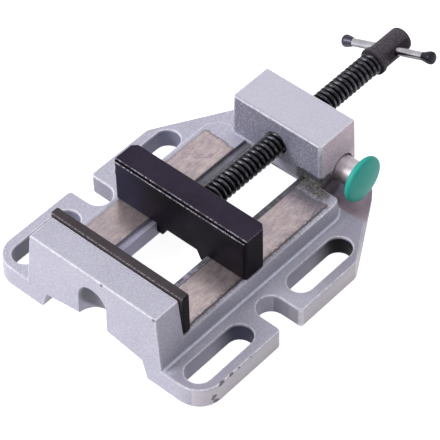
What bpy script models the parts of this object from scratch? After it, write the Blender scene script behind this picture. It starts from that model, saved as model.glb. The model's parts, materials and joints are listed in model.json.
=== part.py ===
"""Drill-press vise with a quick-release nut, modelled as its separate pieces.

Lengths are in metres. X runs across the jaws with the release button at +X, Y runs from the fixed
jaw towards the handle, and Z is up from the table. Y sizes are measured from the fixed jaw's
working face, and the root empty then centres the whole vise on the origin.
"""

import math

import bmesh
import bpy
from mathutils import Matrix, Vector

MM = 0.001
OVERLAP = 1 * MM

# Running and seating clearances
SEAT_GAP = 0.3 * MM
SLIDE_GAP = 0.3 * MM
BORE_GAP = 0.3 * MM

# Jaws and ways
JAW_WIDTH = 80 * MM
JAW_OPENING = 36.3 * MM
JAW_TRAVEL_MARGIN = 0.3 * MM
WAY_HEIGHT = 20.5 * MM
FIXED_PLATE_THICKNESS = 5 * MM
FIXED_PLATE_HEIGHT = 23.3 * MM
PLATE_CHAMFER = 0.8 * MM
PLATE_GROOVE_DROP = 9.2 * MM
PLATE_GROOVE_DEPTH = 1.2 * MM
MOVABLE_JAW_THICKNESS = 14.5 * MM
MOVABLE_JAW_HEIGHT = 25 * MM
JAW_CORNER_CHAMFER = 2.4 * MM
JAW_FRONT_CHAMFER = 1.1 * MM
JAW_EDGE_ROUND = 0.6 * MM
JAW_STEP = 1.3 * MM

# Base flange and its holes
FLANGE_REACH = 23.9 * MM
FLANGE_THICKNESS = 11.5 * MM
FRONT_FACE = -22 * MM
FRONT_LEAN = math.radians(2.2)
FRONT_CORNER_RADIUS = 13 * MM
SIDE_CORNER_RADIUS = 6 * MM
STRAIGHT_SIDE_END = 84.5 * MM
REAR_WIDTH = 78 * MM
REAR_CORNER_RADIUS = 4 * MM
BOLT_SLOT_WIDTH = 13 * MM
BOLT_SLOT_LENGTH = 40 * MM
FRONT_SLOT_CENTRE = 3.2 * MM
REAR_SLOT_CENTRE = 72.4 * MM
SIDE_NOTCH_WIDTH = 13.7 * MM
SIDE_NOTCH_CENTRE = 38.3 * MM
SIDE_NOTCH_MOUTH_RADIUS = 2 * MM
CAST_EDGE_ROUND = 0.9 * MM

# Raised body that carries the ways, with the fixed block in front and the screw block behind
BODY_WALL = 9.1 * MM
BODY_REAR_RADIUS = 10 * MM
BODY_REAR_OVERLAP = 3 * MM
FIXED_BLOCK_TOP = 42.8 * MM
SIDE_WALL_LEAN = 3.3 * MM
SCREW_BLOCK_FRONT = 103.7 * MM
SCREW_BLOCK_REAR = 128.6 * MM
SCREW_BLOCK_TOP = 44.6 * MM
SCREW_BLOCK_WIDTH = 56.4 * MM
SCREW_BLOCK_LEAN = 1.3 * MM
SCREW_BLOCK_CORNER_RADIUS = 2 * MM
BLOCK_SINK = 3 * MM

# Slot between the ways and the hollow underside
WAY_SLOT_WIDTH = 31.2 * MM
WAY_SLOT_FRONT = -2 * MM
WAY_SLOT_RADIUS = 2 * MM
LEDGE_WIDTH = 3.4 * MM
LEDGE_DROP = 1.5 * MM
CHANNEL_SHOULDER = 9.5 * MM
CHANNEL_WALL_DRAFT = 3 * MM
CHANNEL_HEIGHT = 10 * MM
FRONT_RIDGE_HEIGHT = 14.6 * MM
FRONT_RIDGE_END = 2 * MM
SCREW_WALL_FOOT = 15.5 * MM
SCREW_WALL_RELIEF = 6.5 * MM
CHANNEL_WAIST = 97 * MM
CHANNEL_END = 114 * MM
NICHE_RADIUS = 8.6 * MM
NICHE_SPRING_HEIGHT = 26 * MM

# Spindle, its handle and its seat in the movable jaw
SPINDLE_RADIUS = 6 * MM
SPINDLE_HEIGHT = 30.8 * MM
JOURNAL_RADIUS = 4 * MM
JOURNAL_LENGTH = 10 * MM
GROOVE_RADIUS = 2.7 * MM
GROOVE_WIDTH = 3.2 * MM
GROOVE_FROM_SHOULDER = 4.8 * MM
RETAINING_PIN_RADIUS = 1.3 * MM
RETAINING_PIN_OVER_AXIS = 3 * MM
HEAD_START = 174.6 * MM
HEAD_RADIUS = 6.4 * MM
HEAD_END_ROUND = 1.2 * MM
COLLAR_RADIUS = 7.3 * MM
COLLAR_LENGTH = 4.2 * MM
COLLAR_TAPER = 1.6 * MM
SPIGOT_RADIUS = 3.8 * MM
SPIGOT_TO_BAR = 2.2 * MM
HEAD_PIN_RADIUS = 1.2 * MM
HEAD_PIN_FROM_SPIGOT_END = 2.4 * MM
BAR_FROM_COLLAR = 12.4 * MM
BAR_TO_HEAD_END = 10.6 * MM
BAR_RADIUS = 2.2 * MM
BAR_LENGTH = 58.6 * MM
BAR_TILT = math.radians(21.4)
BAR_END_RADIUS = 3.2 * MM
BAR_END_LENGTH = 6.6 * MM
BAR_END_CONE = 3.6 * MM
BAR_TENON_RADIUS = 1.4 * MM
BAR_TENON_LENGTH = 4 * MM

# Quick-release plunger, its spring and its button
PLUNGER_RADIUS = 6.5 * MM
PLUNGER_Y = 119.2 * MM
PLUNGER_HEIGHT = 21 * MM
PLUNGER_INNER_END = -11 * MM
PLUNGER_SHOULDER = 37.4 * MM
RELEASE_TRAVEL = 3.5 * MM
PLUNGER_BORE_END = -22 * MM
PLUNGER_MOUTH_RADIUS = 7.4 * MM
PLUNGER_MOUTH_DEPTH = 2.5 * MM
SPOT_FACE_X = 27.6 * MM
SPOT_FACE_RADIUS = 16.8 * MM
CAP_TENON_RADIUS = 4.5 * MM
CAP_TENON_LENGTH = 2.8 * MM
CAP_RADIUS = 12 * MM
CAP_THICKNESS = 5 * MM
CAP_RIM = 2.4 * MM
SPRING_RADIUS = 4.6 * MM
SPRING_WIRE_RADIUS = 0.5 * MM
SPRING_TURNS = 5

# Keel and keeper under the movable jaw
KEEL_SIDE_GAP = 0.4 * MM
KEEL_SETBACK = 1.3 * MM
KEEL_REAR_SETBACK = 0.8 * MM
KEEL_FRONT_FOOT = 13.8 * MM
KEEL_STEP_BACK = 7.3 * MM
KEEL_TAIL_LENGTH = 5 * MM
KEEL_TAIL_TOP = 15 * MM
KEEL_ARCH_TOP = 18.8 * MM
KEEL_ARCH_TOP_WIDTH = 18.6 * MM
KEEL_ARCH_FOOT_WIDTH = 23.6 * MM
KEEPER_GAP = 0.5 * MM
KEEPER_THICKNESS = 3.3 * MM
KEEPER_REACH = 6.4 * MM
KEEPER_SIDE_GAP = 0.8 * MM
KEEPER_DEPTH = 10 * MM
KEEPER_SETBACK = 2.6 * MM

# Fasteners
PLATE_SCREW_INSET = 15 * MM
PLATE_SCREW_HEIGHT = 28.5 * MM
PLATE_SCREW_RADIUS = 2.5 * MM
PLATE_SCREW_LENGTH = 12 * MM
KEEPER_SCREW_SPACING = 21 * MM
KEEPER_SCREW_RADIUS = 1.6 * MM
KEEPER_SCREW_LENGTH = 8 * MM
COUNTERSINK = 2.0
HEAD_SINK = 0.2 * MM

# Sides of round pieces
FINE_SIDES = 48
ROUND_SIDES = 32
SMALL_SIDES = 20
SHARP_ANGLE = math.radians(35)

# Places that follow from the sizes above
KEEPER_WIDTH = WAY_SLOT_WIDTH + 2 * KEEPER_REACH
REAR_CHANNEL_WIDTH = KEEPER_WIDTH + 2 * KEEPER_SIDE_GAP
CHANNEL_WIDTH = REAR_CHANNEL_WIDTH + 2 * CHANNEL_SHOULDER
BODY_FOOT_WIDTH = CHANNEL_WIDTH + 2 * BODY_WALL
BASE_WIDTH = BODY_FOOT_WIDTH + 2 * FLANGE_REACH
BOLT_SLOT_SPACING = BODY_FOOT_WIDTH + FLANGE_REACH
BAR_Y = HEAD_START + BAR_FROM_COLLAR
HEAD_LENGTH = BAR_FROM_COLLAR + BAR_TO_HEAD_END
SPIGOT_LENGTH = BAR_FROM_COLLAR - BAR_RADIUS - SPIGOT_TO_BAR
HEAD_PIN_Y = HEAD_START + SPIGOT_LENGTH - HEAD_PIN_FROM_SPIGOT_END
HEAD_END = HEAD_START + HEAD_LENGTH
CENTRE_Y = (FRONT_FACE + HEAD_END) / 2
PLATE_SCREW_SPACING = JAW_WIDTH - 2 * PLATE_SCREW_INSET
MOVABLE_JAW_REAR = JAW_OPENING + MOVABLE_JAW_THICKNESS
JAW_SEAT = WAY_HEIGHT + SLIDE_GAP
KEEL_WIDTH = WAY_SLOT_WIDTH - 2 * KEEL_SIDE_GAP
KEEL_FRONT = JAW_OPENING + KEEL_SETBACK
KEEL_REAR = MOVABLE_JAW_REAR - KEEL_REAR_SETBACK
KEEL_STEP = JAW_OPENING + KEEL_STEP_BACK
KEEPER_TOP = CHANNEL_HEIGHT - KEEPER_GAP
KEEL_REAR_FOOT = KEEPER_TOP + SEAT_GAP
KEEPER_FRONT = KEEL_STEP + KEEPER_SETBACK
SHOULDER_Y = MOVABLE_JAW_REAR + SEAT_GAP
GROOVE_Y = SHOULDER_Y - GROOVE_FROM_SHOULDER
RETAINING_PIN_X = GROOVE_RADIUS + RETAINING_PIN_RADIUS + 0.15 * MM
KEEL_TAIL_END = KEEL_REAR + KEEL_TAIL_LENGTH
KEEPER_SCREW_Y = KEEPER_FRONT + KEEPER_DEPTH / 2


def clear_scene():
    """Remove every object that the file opened with."""
    for item in list(bpy.data.objects):
        bpy.data.objects.remove(item, do_unlink=True)


def new_collection(name):
    """Make a collection in the scene and return it."""
    collection = bpy.data.collections.new(name)
    bpy.context.scene.collection.children.link(collection)
    return collection


clear_scene()
PARTS = new_collection("drill_press_vise")
CUTTERS = new_collection("vise_cutters")


def material(name, colour, roughness, metallic):
    """A Principled surface of one colour."""
    surface = bpy.data.materials.new(name)
    surface.use_nodes = True
    shader = surface.node_tree.nodes["Principled BSDF"]
    shader.inputs["Base Color"].default_value = (*colour, 1)
    shader.inputs["Roughness"].default_value = roughness
    shader.inputs["Metallic"].default_value = metallic
    return surface


def empty(name, location, parent=None):
    """An empty that places a group of pieces, on its joint's axis where the group moves."""
    marker = bpy.data.objects.new(name, None)
    marker.location = location
    marker.parent = parent
    PARTS.objects.link(marker)
    return marker


def add_object(name, mesh, location=(0, 0, 0), rotation=(0, 0, 0)):
    """Put a mesh in the parts collection as a new object."""
    item = bpy.data.objects.new(name, mesh)
    item.location = location
    item.rotation_euler = rotation
    PARTS.objects.link(item)
    return item


def finish(item, name, surface, parent):
    """Name a piece, give it its material and carry it on its parent."""
    item.name = name
    item.data.name = name
    item.data.materials.clear()
    item.data.materials.append(surface)
    item.parent = parent
    return item


def shade_round(mesh):
    """Smooth the round faces and keep the real edges sharp."""
    mesh.shade_smooth()
    mesh.set_sharp_from_angle(angle=SHARP_ANGLE)


def bake(item):
    """Replace an object's mesh with the one that its modifiers make."""
    bpy.context.view_layer.update()
    depsgraph = bpy.context.evaluated_depsgraph_get()
    mesh = bpy.data.meshes.new_from_object(item.evaluated_get(depsgraph))
    item.modifiers.clear()
    item.data = mesh
    return item


def block(name, low, high, top_inset=0):
    """A box between two corners, whose ends can draw in towards the top by top_inset each."""
    low = Vector(low)
    high = Vector(high)
    form = bmesh.new()
    bmesh.ops.create_cube(form, size=1)
    bmesh.ops.scale(form, vec=high - low, verts=form.verts)
    bmesh.ops.translate(form, vec=(low + high) / 2, verts=form.verts)
    middle = (low.z + high.z) / 2
    for corner in form.verts:
        if corner.co.z > middle:
            corner.co.x -= math.copysign(top_inset, corner.co.x)
    mesh = bpy.data.meshes.new(name)
    form.to_mesh(mesh)
    form.free()
    return add_object(name, mesh)


def rod(name, radius, start, end, sides=ROUND_SIDES):
    """A cylinder from one point to another."""
    start = Vector(start)
    end = Vector(end)
    form = bmesh.new()
    bmesh.ops.create_cone(form, cap_ends=True, segments=sides, radius1=radius, radius2=radius,
                          depth=(end - start).length)
    turn = (end - start).to_track_quat("Z", "Y").to_matrix().to_4x4()
    bmesh.ops.transform(form, matrix=Matrix.Translation((start + end) / 2) @ turn, verts=form.verts)
    mesh = bpy.data.meshes.new(name)
    form.to_mesh(mesh)
    form.free()
    return add_object(name, mesh)


def turned(name, profile, sides=ROUND_SIDES):
    """Turn a profile of (radius, height) points, listed from the top down, about the Z axis."""
    mesh = bpy.data.meshes.new(name)
    points = [(radius, 0, height) for radius, height in profile]
    mesh.from_pydata(points, [(n, n + 1) for n in range(len(points) - 1)], [])
    item = add_object(name, mesh)
    screw = item.modifiers.new("turning", "SCREW")
    screw.axis = "Z"
    screw.steps = sides
    screw.render_steps = sides
    screw.use_merge_vertices = True
    screw.merge_threshold = 0.00001
    bake(item)
    form = bmesh.new()
    form.from_mesh(item.data)
    bmesh.ops.recalc_face_normals(form, faces=form.faces)
    form.to_mesh(item.data)
    form.free()
    shade_round(item.data)
    return item


def along(item, axis, location):
    """Turn a piece made about Z so that its top points along an axis, and place it."""
    item.rotation_euler = Vector(axis).to_track_quat("Z", "Y").to_euler()
    item.location = location
    return item


def arc(centre, radius, start, end, steps):
    """Points on an arc, both ends included, with angles in degrees."""
    angles = [math.radians(start + (end - start) * n / steps) for n in range(steps + 1)]
    return [(centre[0] + radius * math.cos(a), centre[1] + radius * math.sin(a)) for a in angles]


def fillet(before, corner, after, radius, steps=4):
    """Points that round the corner between two straight edges."""
    corner = Vector(corner)
    back = (Vector(before) - corner).normalized()
    ahead = (Vector(after) - corner).normalized()
    half_angle = back.angle(ahead) / 2
    centre = corner + (back + ahead).normalized() * radius / math.sin(half_angle)
    start = corner + back * radius / math.tan(half_angle) - centre
    end = corner + ahead * radius / math.tan(half_angle) - centre
    points = []
    for n in range(steps + 1):
        spoke = start.slerp(end, n / steps) if n else start
        points.append(tuple(centre + spoke.normalized() * radius))
    return points


def flat(name, outline, low, high):
    """A flat plate with a closed outline in the XY plane, between two heights."""
    curve = bpy.data.curves.new(name, "CURVE")
    curve.dimensions = "2D"
    curve.fill_mode = "BOTH"
    curve.extrude = (high - low) / 2
    spline = curve.splines.new("POLY")
    spline.points.add(len(outline) - 1)
    for point, (x, y) in zip(spline.points, outline):
        point.co = (x, y, 0, 1)
    spline.use_cyclic_u = True
    guide = add_object(name + "_outline", curve)
    bpy.context.view_layer.update()
    depsgraph = bpy.context.evaluated_depsgraph_get()
    mesh = bpy.data.meshes.new_from_object(guide.evaluated_get(depsgraph))
    form = bmesh.new()
    form.from_mesh(mesh)
    bmesh.ops.remove_doubles(form, verts=form.verts, dist=0.000001)
    triangles = [face for face in form.faces if len(face.verts) == 3]
    bmesh.ops.delete(form, geom=triangles, context="FACES")
    rims = [edge for edge in form.edges if edge.is_boundary]
    bmesh.ops.holes_fill(form, edges=rims)
    bmesh.ops.translate(form, vec=(0, 0, (low + high) / 2), verts=form.verts)
    bmesh.ops.recalc_face_normals(form, faces=form.faces)
    form.to_mesh(mesh)
    form.free()
    bpy.data.objects.remove(guide, do_unlink=True)
    return add_object(name, mesh)


def prism(name, profile, axis, start, end):
    """Extrude a closed profile along X (from its y, z points) or along Y (from its x, z points)."""
    form = bmesh.new()
    if axis == "X":
        points = [form.verts.new((start, a, b)) for a, b in profile]
        push = Vector((end - start, 0, 0))
    else:
        points = [form.verts.new((a, start, b)) for a, b in profile]
        push = Vector((0, end - start, 0))
    base = form.faces.new(points)
    pushed = bmesh.ops.extrude_face_region(form, geom=[base])
    moved = [part for part in pushed["geom"] if isinstance(part, bmesh.types.BMVert)]
    bmesh.ops.translate(form, vec=push, verts=moved)
    bmesh.ops.recalc_face_normals(form, faces=form.faces)
    mesh = bpy.data.meshes.new(name)
    form.to_mesh(mesh)
    form.free()
    return add_object(name, mesh)


def boolean(item, other, operation):
    """Join to a piece, or cut from it, another shape that is kept as a hidden guide."""
    step = item.modifiers.new(other.name, "BOOLEAN")
    step.operation = operation
    step.solver = "EXACT"
    step.object = other
    if other.name in PARTS.objects:
        PARTS.objects.unlink(other)
        CUTTERS.objects.link(other)
    other.hide_render = True
    other.display_type = "WIRE"
    return item


def cut(item, *cutters):
    """Cut shapes out of a piece."""
    for cutter in cutters:
        boolean(item, cutter, "DIFFERENCE")
    return item


def join(item, *others):
    """Join shapes into a piece."""
    for other in others:
        boolean(item, other, "UNION")
    return item


def round_edges(item, width, segments=2, angle=30):
    """Round every edge sharper than an angle, inside corners too."""
    step = item.modifiers.new("rounded edges", "BEVEL")
    step.width = width
    step.segments = segments
    step.limit_method = "ANGLE"
    step.angle_limit = math.radians(angle)
    step.use_clamp_overlap = False
    step.loop_slide = False
    return item


def round_uprights(item, is_meant, radius, steps):
    """Round the upright edges of a block at the places that a test picks out."""
    form = bmesh.new()
    form.from_mesh(item.data)
    uprights = []
    for edge in form.edges:
        first, second = (corner.co for corner in edge.verts)
        is_upright = abs(first.z - second.z) > OVERLAP and abs(first.y - second.y) < OVERLAP
        if is_upright and is_meant(first) and is_meant(second):
            uprights.append(edge)
    bmesh.ops.bevel(form, geom=uprights, offset=radius, offset_type="OFFSET", segments=steps,
                    profile=0.5, affect="EDGES")
    form.to_mesh(item.data)
    form.free()


def mirrored(half):
    """Complete an outline given for +X, from front to rear, with its mirror image."""
    return half + [(-x, y) for x, y in reversed(half)]


def bolt_slot(x, y):
    """Outline of a round-ended slot that runs along Y."""
    radius = BOLT_SLOT_WIDTH / 2
    reach = BOLT_SLOT_LENGTH / 2 - radius
    return arc((x, y + reach), radius, 0, 180, 12) + arc((x, y - reach), radius, 180, 360, 12)


def side_notch():
    """Outline of the open notch in the +X edge, front lip first."""
    edge = BASE_WIDTH / 2
    radius = SIDE_NOTCH_WIDTH / 2
    front = SIDE_NOTCH_CENTRE - radius
    rear = SIDE_NOTCH_CENTRE + radius
    centre_x = BOLT_SLOT_SPACING / 2
    lip = SIDE_NOTCH_MOUTH_RADIUS
    points = fillet((edge, FRONT_FACE), (edge, front), (centre_x, front), lip, 6)
    points += arc((centre_x, SIDE_NOTCH_CENTRE), radius, 270, 90, 12)
    points += fillet((centre_x, rear), (edge, rear), (edge, STRAIGHT_SIDE_END), lip, 6)
    return points


def flange():
    """The bolting flange: round front corners, side notches, tapered rear and four bolt slots."""
    edge = BASE_WIDTH / 2
    front_centre = (edge - FRONT_CORNER_RADIUS, FRONT_FACE + FRONT_CORNER_RADIUS)
    side_end = (edge, STRAIGHT_SIDE_END)
    rear_corner = (REAR_WIDTH / 2, SCREW_BLOCK_REAR)
    half = arc(front_centre, FRONT_CORNER_RADIUS, 270, 360, 8)
    half += side_notch()
    half += fillet((edge, 0), side_end, rear_corner, SIDE_CORNER_RADIUS)
    half += fillet(side_end, rear_corner, (0, SCREW_BLOCK_REAR), REAR_CORNER_RADIUS)
    return flat("base_casting", mirrored(half), 0, FLANGE_THICKNESS)


def bolt_slots():
    """Cutters for the four bolt slots."""
    high = FLANGE_THICKNESS * 2
    cutters = []
    for side in (-1, 1):
        for place in (FRONT_SLOT_CENTRE, REAR_SLOT_CENTRE):
            outline = bolt_slot(side * BOLT_SLOT_SPACING / 2, place)
            cutters.append(flat("bolt_slot", outline, -FLANGE_THICKNESS, high))
    return cutters


def side_wall(height):
    """Distance from the middle to the drafted side wall that body and fixed block share."""
    rise = (height - FLANGE_THICKNESS) / (FIXED_BLOCK_TOP - FLANGE_THICKNESS)
    return BODY_FOOT_WIDTH / 2 - SIDE_WALL_LEAN * rise


def body_and_fixed_block():
    """The raised body under the ways with the block that backs the fixed jaw plate.

    Both share one drafted side wall, and the body's two rear corners are round.
    """
    low = FLANGE_THICKNESS - BLOCK_SINK
    rear = SCREW_BLOCK_FRONT + BODY_REAR_OVERLAP
    step = -FIXED_PLATE_THICKNESS - SEAT_GAP
    profile = [(FRONT_FACE, low), (rear, low), (rear, WAY_HEIGHT), (step, WAY_HEIGHT),
               (step, FIXED_BLOCK_TOP), (FRONT_FACE, FIXED_BLOCK_TOP)]
    body = prism("way_body", profile, "X", -BODY_FOOT_WIDTH, BODY_FOOT_WIDTH)
    for corner in body.data.vertices:
        corner.co.x = math.copysign(side_wall(corner.co.z), corner.co.x)
    round_uprights(body, lambda place: place.y > SCREW_BLOCK_FRONT, BODY_REAR_RADIUS, 6)
    return body


def screw_block():
    """The rear block that guides the spindle and holds the release plunger.

    Its two front corners are rounder than the casting's other edges.
    """
    low = (-SCREW_BLOCK_WIDTH / 2, SCREW_BLOCK_FRONT, FLANGE_THICKNESS - BLOCK_SINK)
    high = (SCREW_BLOCK_WIDTH / 2, SCREW_BLOCK_REAR, SCREW_BLOCK_TOP)
    item = block("screw_block", low, high, SCREW_BLOCK_LEAN)
    middle = (low[1] + high[1]) / 2
    round_uprights(item, lambda place: place.y < middle, SCREW_BLOCK_CORNER_RADIUS, 4)
    return item


def lean_front(casting):
    """Lean the front wall back as it rises, so that the casting leaves its mould."""
    corner_end = FRONT_FACE + FRONT_CORNER_RADIUS
    for point in casting.data.vertices:
        share = (corner_end - point.co.y) / FRONT_CORNER_RADIUS
        share = min(max(share, 0), 1)
        point.co.y += point.co.z * math.tan(FRONT_LEAN) * share


def underside_channel():
    """The hollow between the side feet, its narrow rear end and its ridged mouth in front."""
    foot = CHANNEL_WIDTH / 2
    roof = foot - CHANNEL_WALL_DRAFT
    below = -CHANNEL_HEIGHT
    flare = CHANNEL_WALL_DRAFT / CHANNEL_HEIGHT
    wide = foot + flare * CHANNEL_HEIGHT
    channel = [(-wide, below), (wide, below), (roof, CHANNEL_HEIGHT), (-roof, CHANNEL_HEIGHT)]
    track = prism("underside_channel", channel, "Y", FRONT_RIDGE_END - OVERLAP, CHANNEL_WAIST)
    rear = block("rear_channel", (-REAR_CHANNEL_WIDTH / 2, CHANNEL_WAIST - OVERLAP, below),
                 (REAR_CHANNEL_WIDTH / 2, CHANNEL_END, CHANNEL_HEIGHT))
    mouth = [*channel[:3], (0, FRONT_RIDGE_HEIGHT), channel[3]]
    front = prism("front_mouth", mouth, "Y", FRONT_FACE - FRONT_RIDGE_HEIGHT, FRONT_RIDGE_END)
    return track, rear, front


def way_slot():
    """The slot between the ways, which the movable jaw's keel runs in."""
    half_width = WAY_SLOT_WIDTH / 2
    front_centre = (half_width - WAY_SLOT_RADIUS, WAY_SLOT_FRONT + WAY_SLOT_RADIUS)
    half = arc(front_centre, WAY_SLOT_RADIUS, 270, 360, 4)
    half += [(half_width, SCREW_BLOCK_FRONT)]
    return flat("way_slot", mirrored(half), -CHANNEL_HEIGHT, WAY_HEIGHT + CHANNEL_HEIGHT)


def way_ledge():
    """The lower strips left as cast along both edges of the slot."""
    half_width = WAY_SLOT_WIDTH / 2 + LEDGE_WIDTH
    low = (-half_width, SEAT_GAP + LEDGE_DROP / 2, WAY_HEIGHT - LEDGE_DROP)
    high = (half_width, SCREW_BLOCK_FRONT - LEDGE_DROP / 4, WAY_HEIGHT + LEDGE_DROP)
    return block("way_ledge", low, high)


def screw_wall_relief():
    """The pocket under the screw block's front wall, which the jaw's keel runs into."""
    front = SCREW_BLOCK_FRONT - WAY_SLOT_RADIUS
    low = CHANNEL_HEIGHT - OVERLAP
    rear = SCREW_BLOCK_FRONT + SCREW_WALL_RELIEF
    profile = [(front, low), (rear + OVERLAP, low), (rear, SCREW_WALL_FOOT), (front, SCREW_WALL_FOOT)]
    reach = WAY_SLOT_WIDTH / 2
    return prism("screw_wall_relief", profile, "X", -reach, reach)


def front_niche():
    """The half-round niche in the front wall, with a domed top."""
    dome = arc((0, NICHE_SPRING_HEIGHT), NICHE_RADIUS, 90, 0, 8)
    profile = [(0, dome[0][1]), *dome[1:], (NICHE_RADIUS, -CHANNEL_HEIGHT), (0, -CHANNEL_HEIGHT)]
    niche = turned("front_niche", profile)
    niche.location.y = FRONT_FACE + NICHE_SPRING_HEIGHT / 2 * math.tan(FRONT_LEAN)
    return niche


def spindle_bore():
    """The plain hole that guides the spindle through the screw block."""
    start = (0, SCREW_BLOCK_FRONT - SPINDLE_RADIUS, SPINDLE_HEIGHT)
    end = (0, SCREW_BLOCK_REAR + SPINDLE_RADIUS, SPINDLE_HEIGHT)
    return rod("spindle_bore", SPINDLE_RADIUS + BORE_GAP, start, end, FINE_SIDES)


def plunger_bore():
    """The blind cross hole for the plunger and its spring, wider at its mouth."""
    radius = PLUNGER_RADIUS + BORE_GAP
    mouth = SPOT_FACE_X - PLUNGER_MOUTH_DEPTH
    top = SPOT_FACE_X + PLUNGER_MOUTH_RADIUS
    profile = [(0, top), (PLUNGER_MOUTH_RADIUS, top), (PLUNGER_MOUTH_RADIUS, mouth),
               (radius, mouth), (radius, PLUNGER_BORE_END), (0, PLUNGER_BORE_END)]
    bore = turned("plunger_bore", profile)
    return along(bore, (1, 0, 0), (0, PLUNGER_Y, PLUNGER_HEIGHT))


def spot_face():
    """The round cut that faces the screw block's side and clears the flange for the button."""
    centre = (SPOT_FACE_X, PLUNGER_Y, PLUNGER_HEIGHT)
    return rod("spot_face", SPOT_FACE_RADIUS, centre, (BASE_WIDTH, *centre[1:]), FINE_SIDES)


def plate_screw_place(side):
    """Centre of a jaw plate screw on the plate's working face."""
    return (side * PLATE_SCREW_SPACING / 2, 0, PLATE_SCREW_HEIGHT)


def plate_screw_hole(side):
    """Blind hole in the fixed block for a jaw plate screw."""
    x, y, z = plate_screw_place(side)
    radius = PLATE_SCREW_RADIUS + BORE_GAP
    depth = PLATE_SCREW_LENGTH + OVERLAP
    return rod("plate_screw_hole", radius, (x, y, z), (x, y - depth, z), SMALL_SIDES)


def base_casting(surface, parent):
    """The one-piece casting that everything else is fitted to."""
    casting = join(flange(), body_and_fixed_block(), screw_block())
    bake(casting)
    lean_front(casting)
    cut(casting, *bolt_slots(), *underside_channel(), way_slot(), screw_wall_relief())
    bake(casting)
    round_edges(casting, CAST_EDGE_ROUND)
    cut(casting, front_niche(), way_ledge(), spindle_bore(), spot_face(), plunger_bore())
    cut(casting, plate_screw_hole(-1), plate_screw_hole(1))
    bake(casting)
    shade_round(casting.data)
    return finish(casting, "base_casting", surface, parent)


def countersunk_screw(name, radius, length, parent, surface):
    """A countersunk screw with its head's face at the origin and its shank pointing down."""
    head = radius * COUNTERSINK
    cone = head - radius
    profile = [(0, 0), (head, 0), (head, -HEAD_SINK), (radius, -HEAD_SINK - cone),
               (radius, -length + radius / 2), (radius / 2, -length), (0, -length)]
    screw = turned(name, profile, SMALL_SIDES)
    slot_width = radius / 3
    slot = block(name + "_slot", (-head * 2, -slot_width, -cone / 2), (head * 2, slot_width, head))
    slot.parent = screw
    cut(screw, slot)
    return finish(screw, name, surface, parent)


def countersink_cutter(name, radius, length):
    """The hole that a countersunk screw fits, with its gap all round."""
    head = radius * COUNTERSINK + BORE_GAP
    shank = radius + BORE_GAP
    cone = head - shank
    step = HEAD_SINK + BORE_GAP
    profile = [(0, head), (head, head), (head, -step), (shank, -step - cone), (shank, -length),
               (0, -length)]
    return turned(name, profile, SMALL_SIDES)


def fixed_jaw_plate(surface, parent):
    """The hard plate of the fixed jaw, with a groove along it for round work."""
    half_width = JAW_WIDTH / 2
    low = (-half_width, -FIXED_PLATE_THICKNESS, JAW_SEAT)
    high = (half_width, 0, JAW_SEAT + FIXED_PLATE_HEIGHT)
    plate = block("fixed_jaw_plate", low, high)
    round_edges(plate, PLATE_CHAMFER, 1)
    middle = high[2] - PLATE_GROOVE_DROP
    depth = PLATE_GROOVE_DEPTH
    reach = depth + OVERLAP
    vee = [(OVERLAP, middle - reach), (OVERLAP, middle + reach), (-depth, middle)]
    cut(plate, prism("plate_groove", vee, "X", -JAW_WIDTH, JAW_WIDTH))
    for side in (-1, 1):
        hole = countersink_cutter("plate_countersink", PLATE_SCREW_RADIUS, FIXED_PLATE_THICKNESS * 2)
        cut(plate, along(hole, (0, 1, 0), plate_screw_place(side)))
    bake(plate)
    return finish(plate, "fixed_jaw_plate", surface, parent)


def plate_screws(surface, parent):
    """The two screws that hold the fixed jaw plate."""
    for side, word in ((-1, "left"), (1, "right")):
        x, y, z = plate_screw_place(side)
        name = "fixed_plate_screw_" + word
        screw = countersunk_screw(name, PLATE_SCREW_RADIUS, PLATE_SCREW_LENGTH, parent, surface)
        along(screw, (0, 1, 0), (x, y - HEAD_SINK, z))


def jaw_keel():
    """The keel under the movable jaw: a front part, a deeper rear part and a tail behind it."""
    half_width = KEEL_WIDTH / 2
    top = JAW_SEAT + KEEL_SIDE_GAP + OVERLAP
    front = block("keel_front", (-half_width, KEEL_FRONT, KEEL_FRONT_FOOT),
                  (half_width, KEEL_STEP + OVERLAP, top))
    rear = block("keel_rear", (-half_width, KEEL_STEP, KEEL_REAR_FOOT), (half_width, KEEL_REAR, top))
    tail = block("keel_tail", (-half_width, KEEL_REAR - OVERLAP, KEEL_REAR_FOOT),
                 (half_width, KEEL_TAIL_END, KEEL_TAIL_TOP))
    return front, rear, tail


def keel_arch():
    """The arch through the front part of the keel."""
    top = KEEL_ARCH_TOP_WIDTH / 2
    foot = KEEL_ARCH_FOOT_WIDTH / 2
    slope = (foot - top) / (KEEL_ARCH_TOP - KEEL_FRONT_FOOT)
    low = KEEL_FRONT_FOOT - OVERLAP
    wide = foot + slope * OVERLAP
    arch = [(-wide, low), (wide, low), (top, KEEL_ARCH_TOP), (-top, KEEL_ARCH_TOP)]
    return prism("keel_arch", arch, "Y", JAW_OPENING - OVERLAP, KEEL_STEP)


def jaw_step():
    """The small step along the top of the movable jaw's working face."""
    low = (-JAW_WIDTH, JAW_OPENING - OVERLAP, JAW_SEAT + MOVABLE_JAW_HEIGHT - JAW_STEP)
    high = (JAW_WIDTH, JAW_OPENING + JAW_STEP, JAW_SEAT + MOVABLE_JAW_HEIGHT + OVERLAP)
    return block("jaw_step", low, high)


def keeper_screw_place(side):
    """Centre of a keeper screw's head on the keeper's underside, from the jaw's origin."""
    y = KEEPER_SCREW_Y - JAW_OPENING
    return (side * KEEPER_SCREW_SPACING / 2, y, KEEPER_TOP - KEEPER_THICKNESS)


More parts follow.
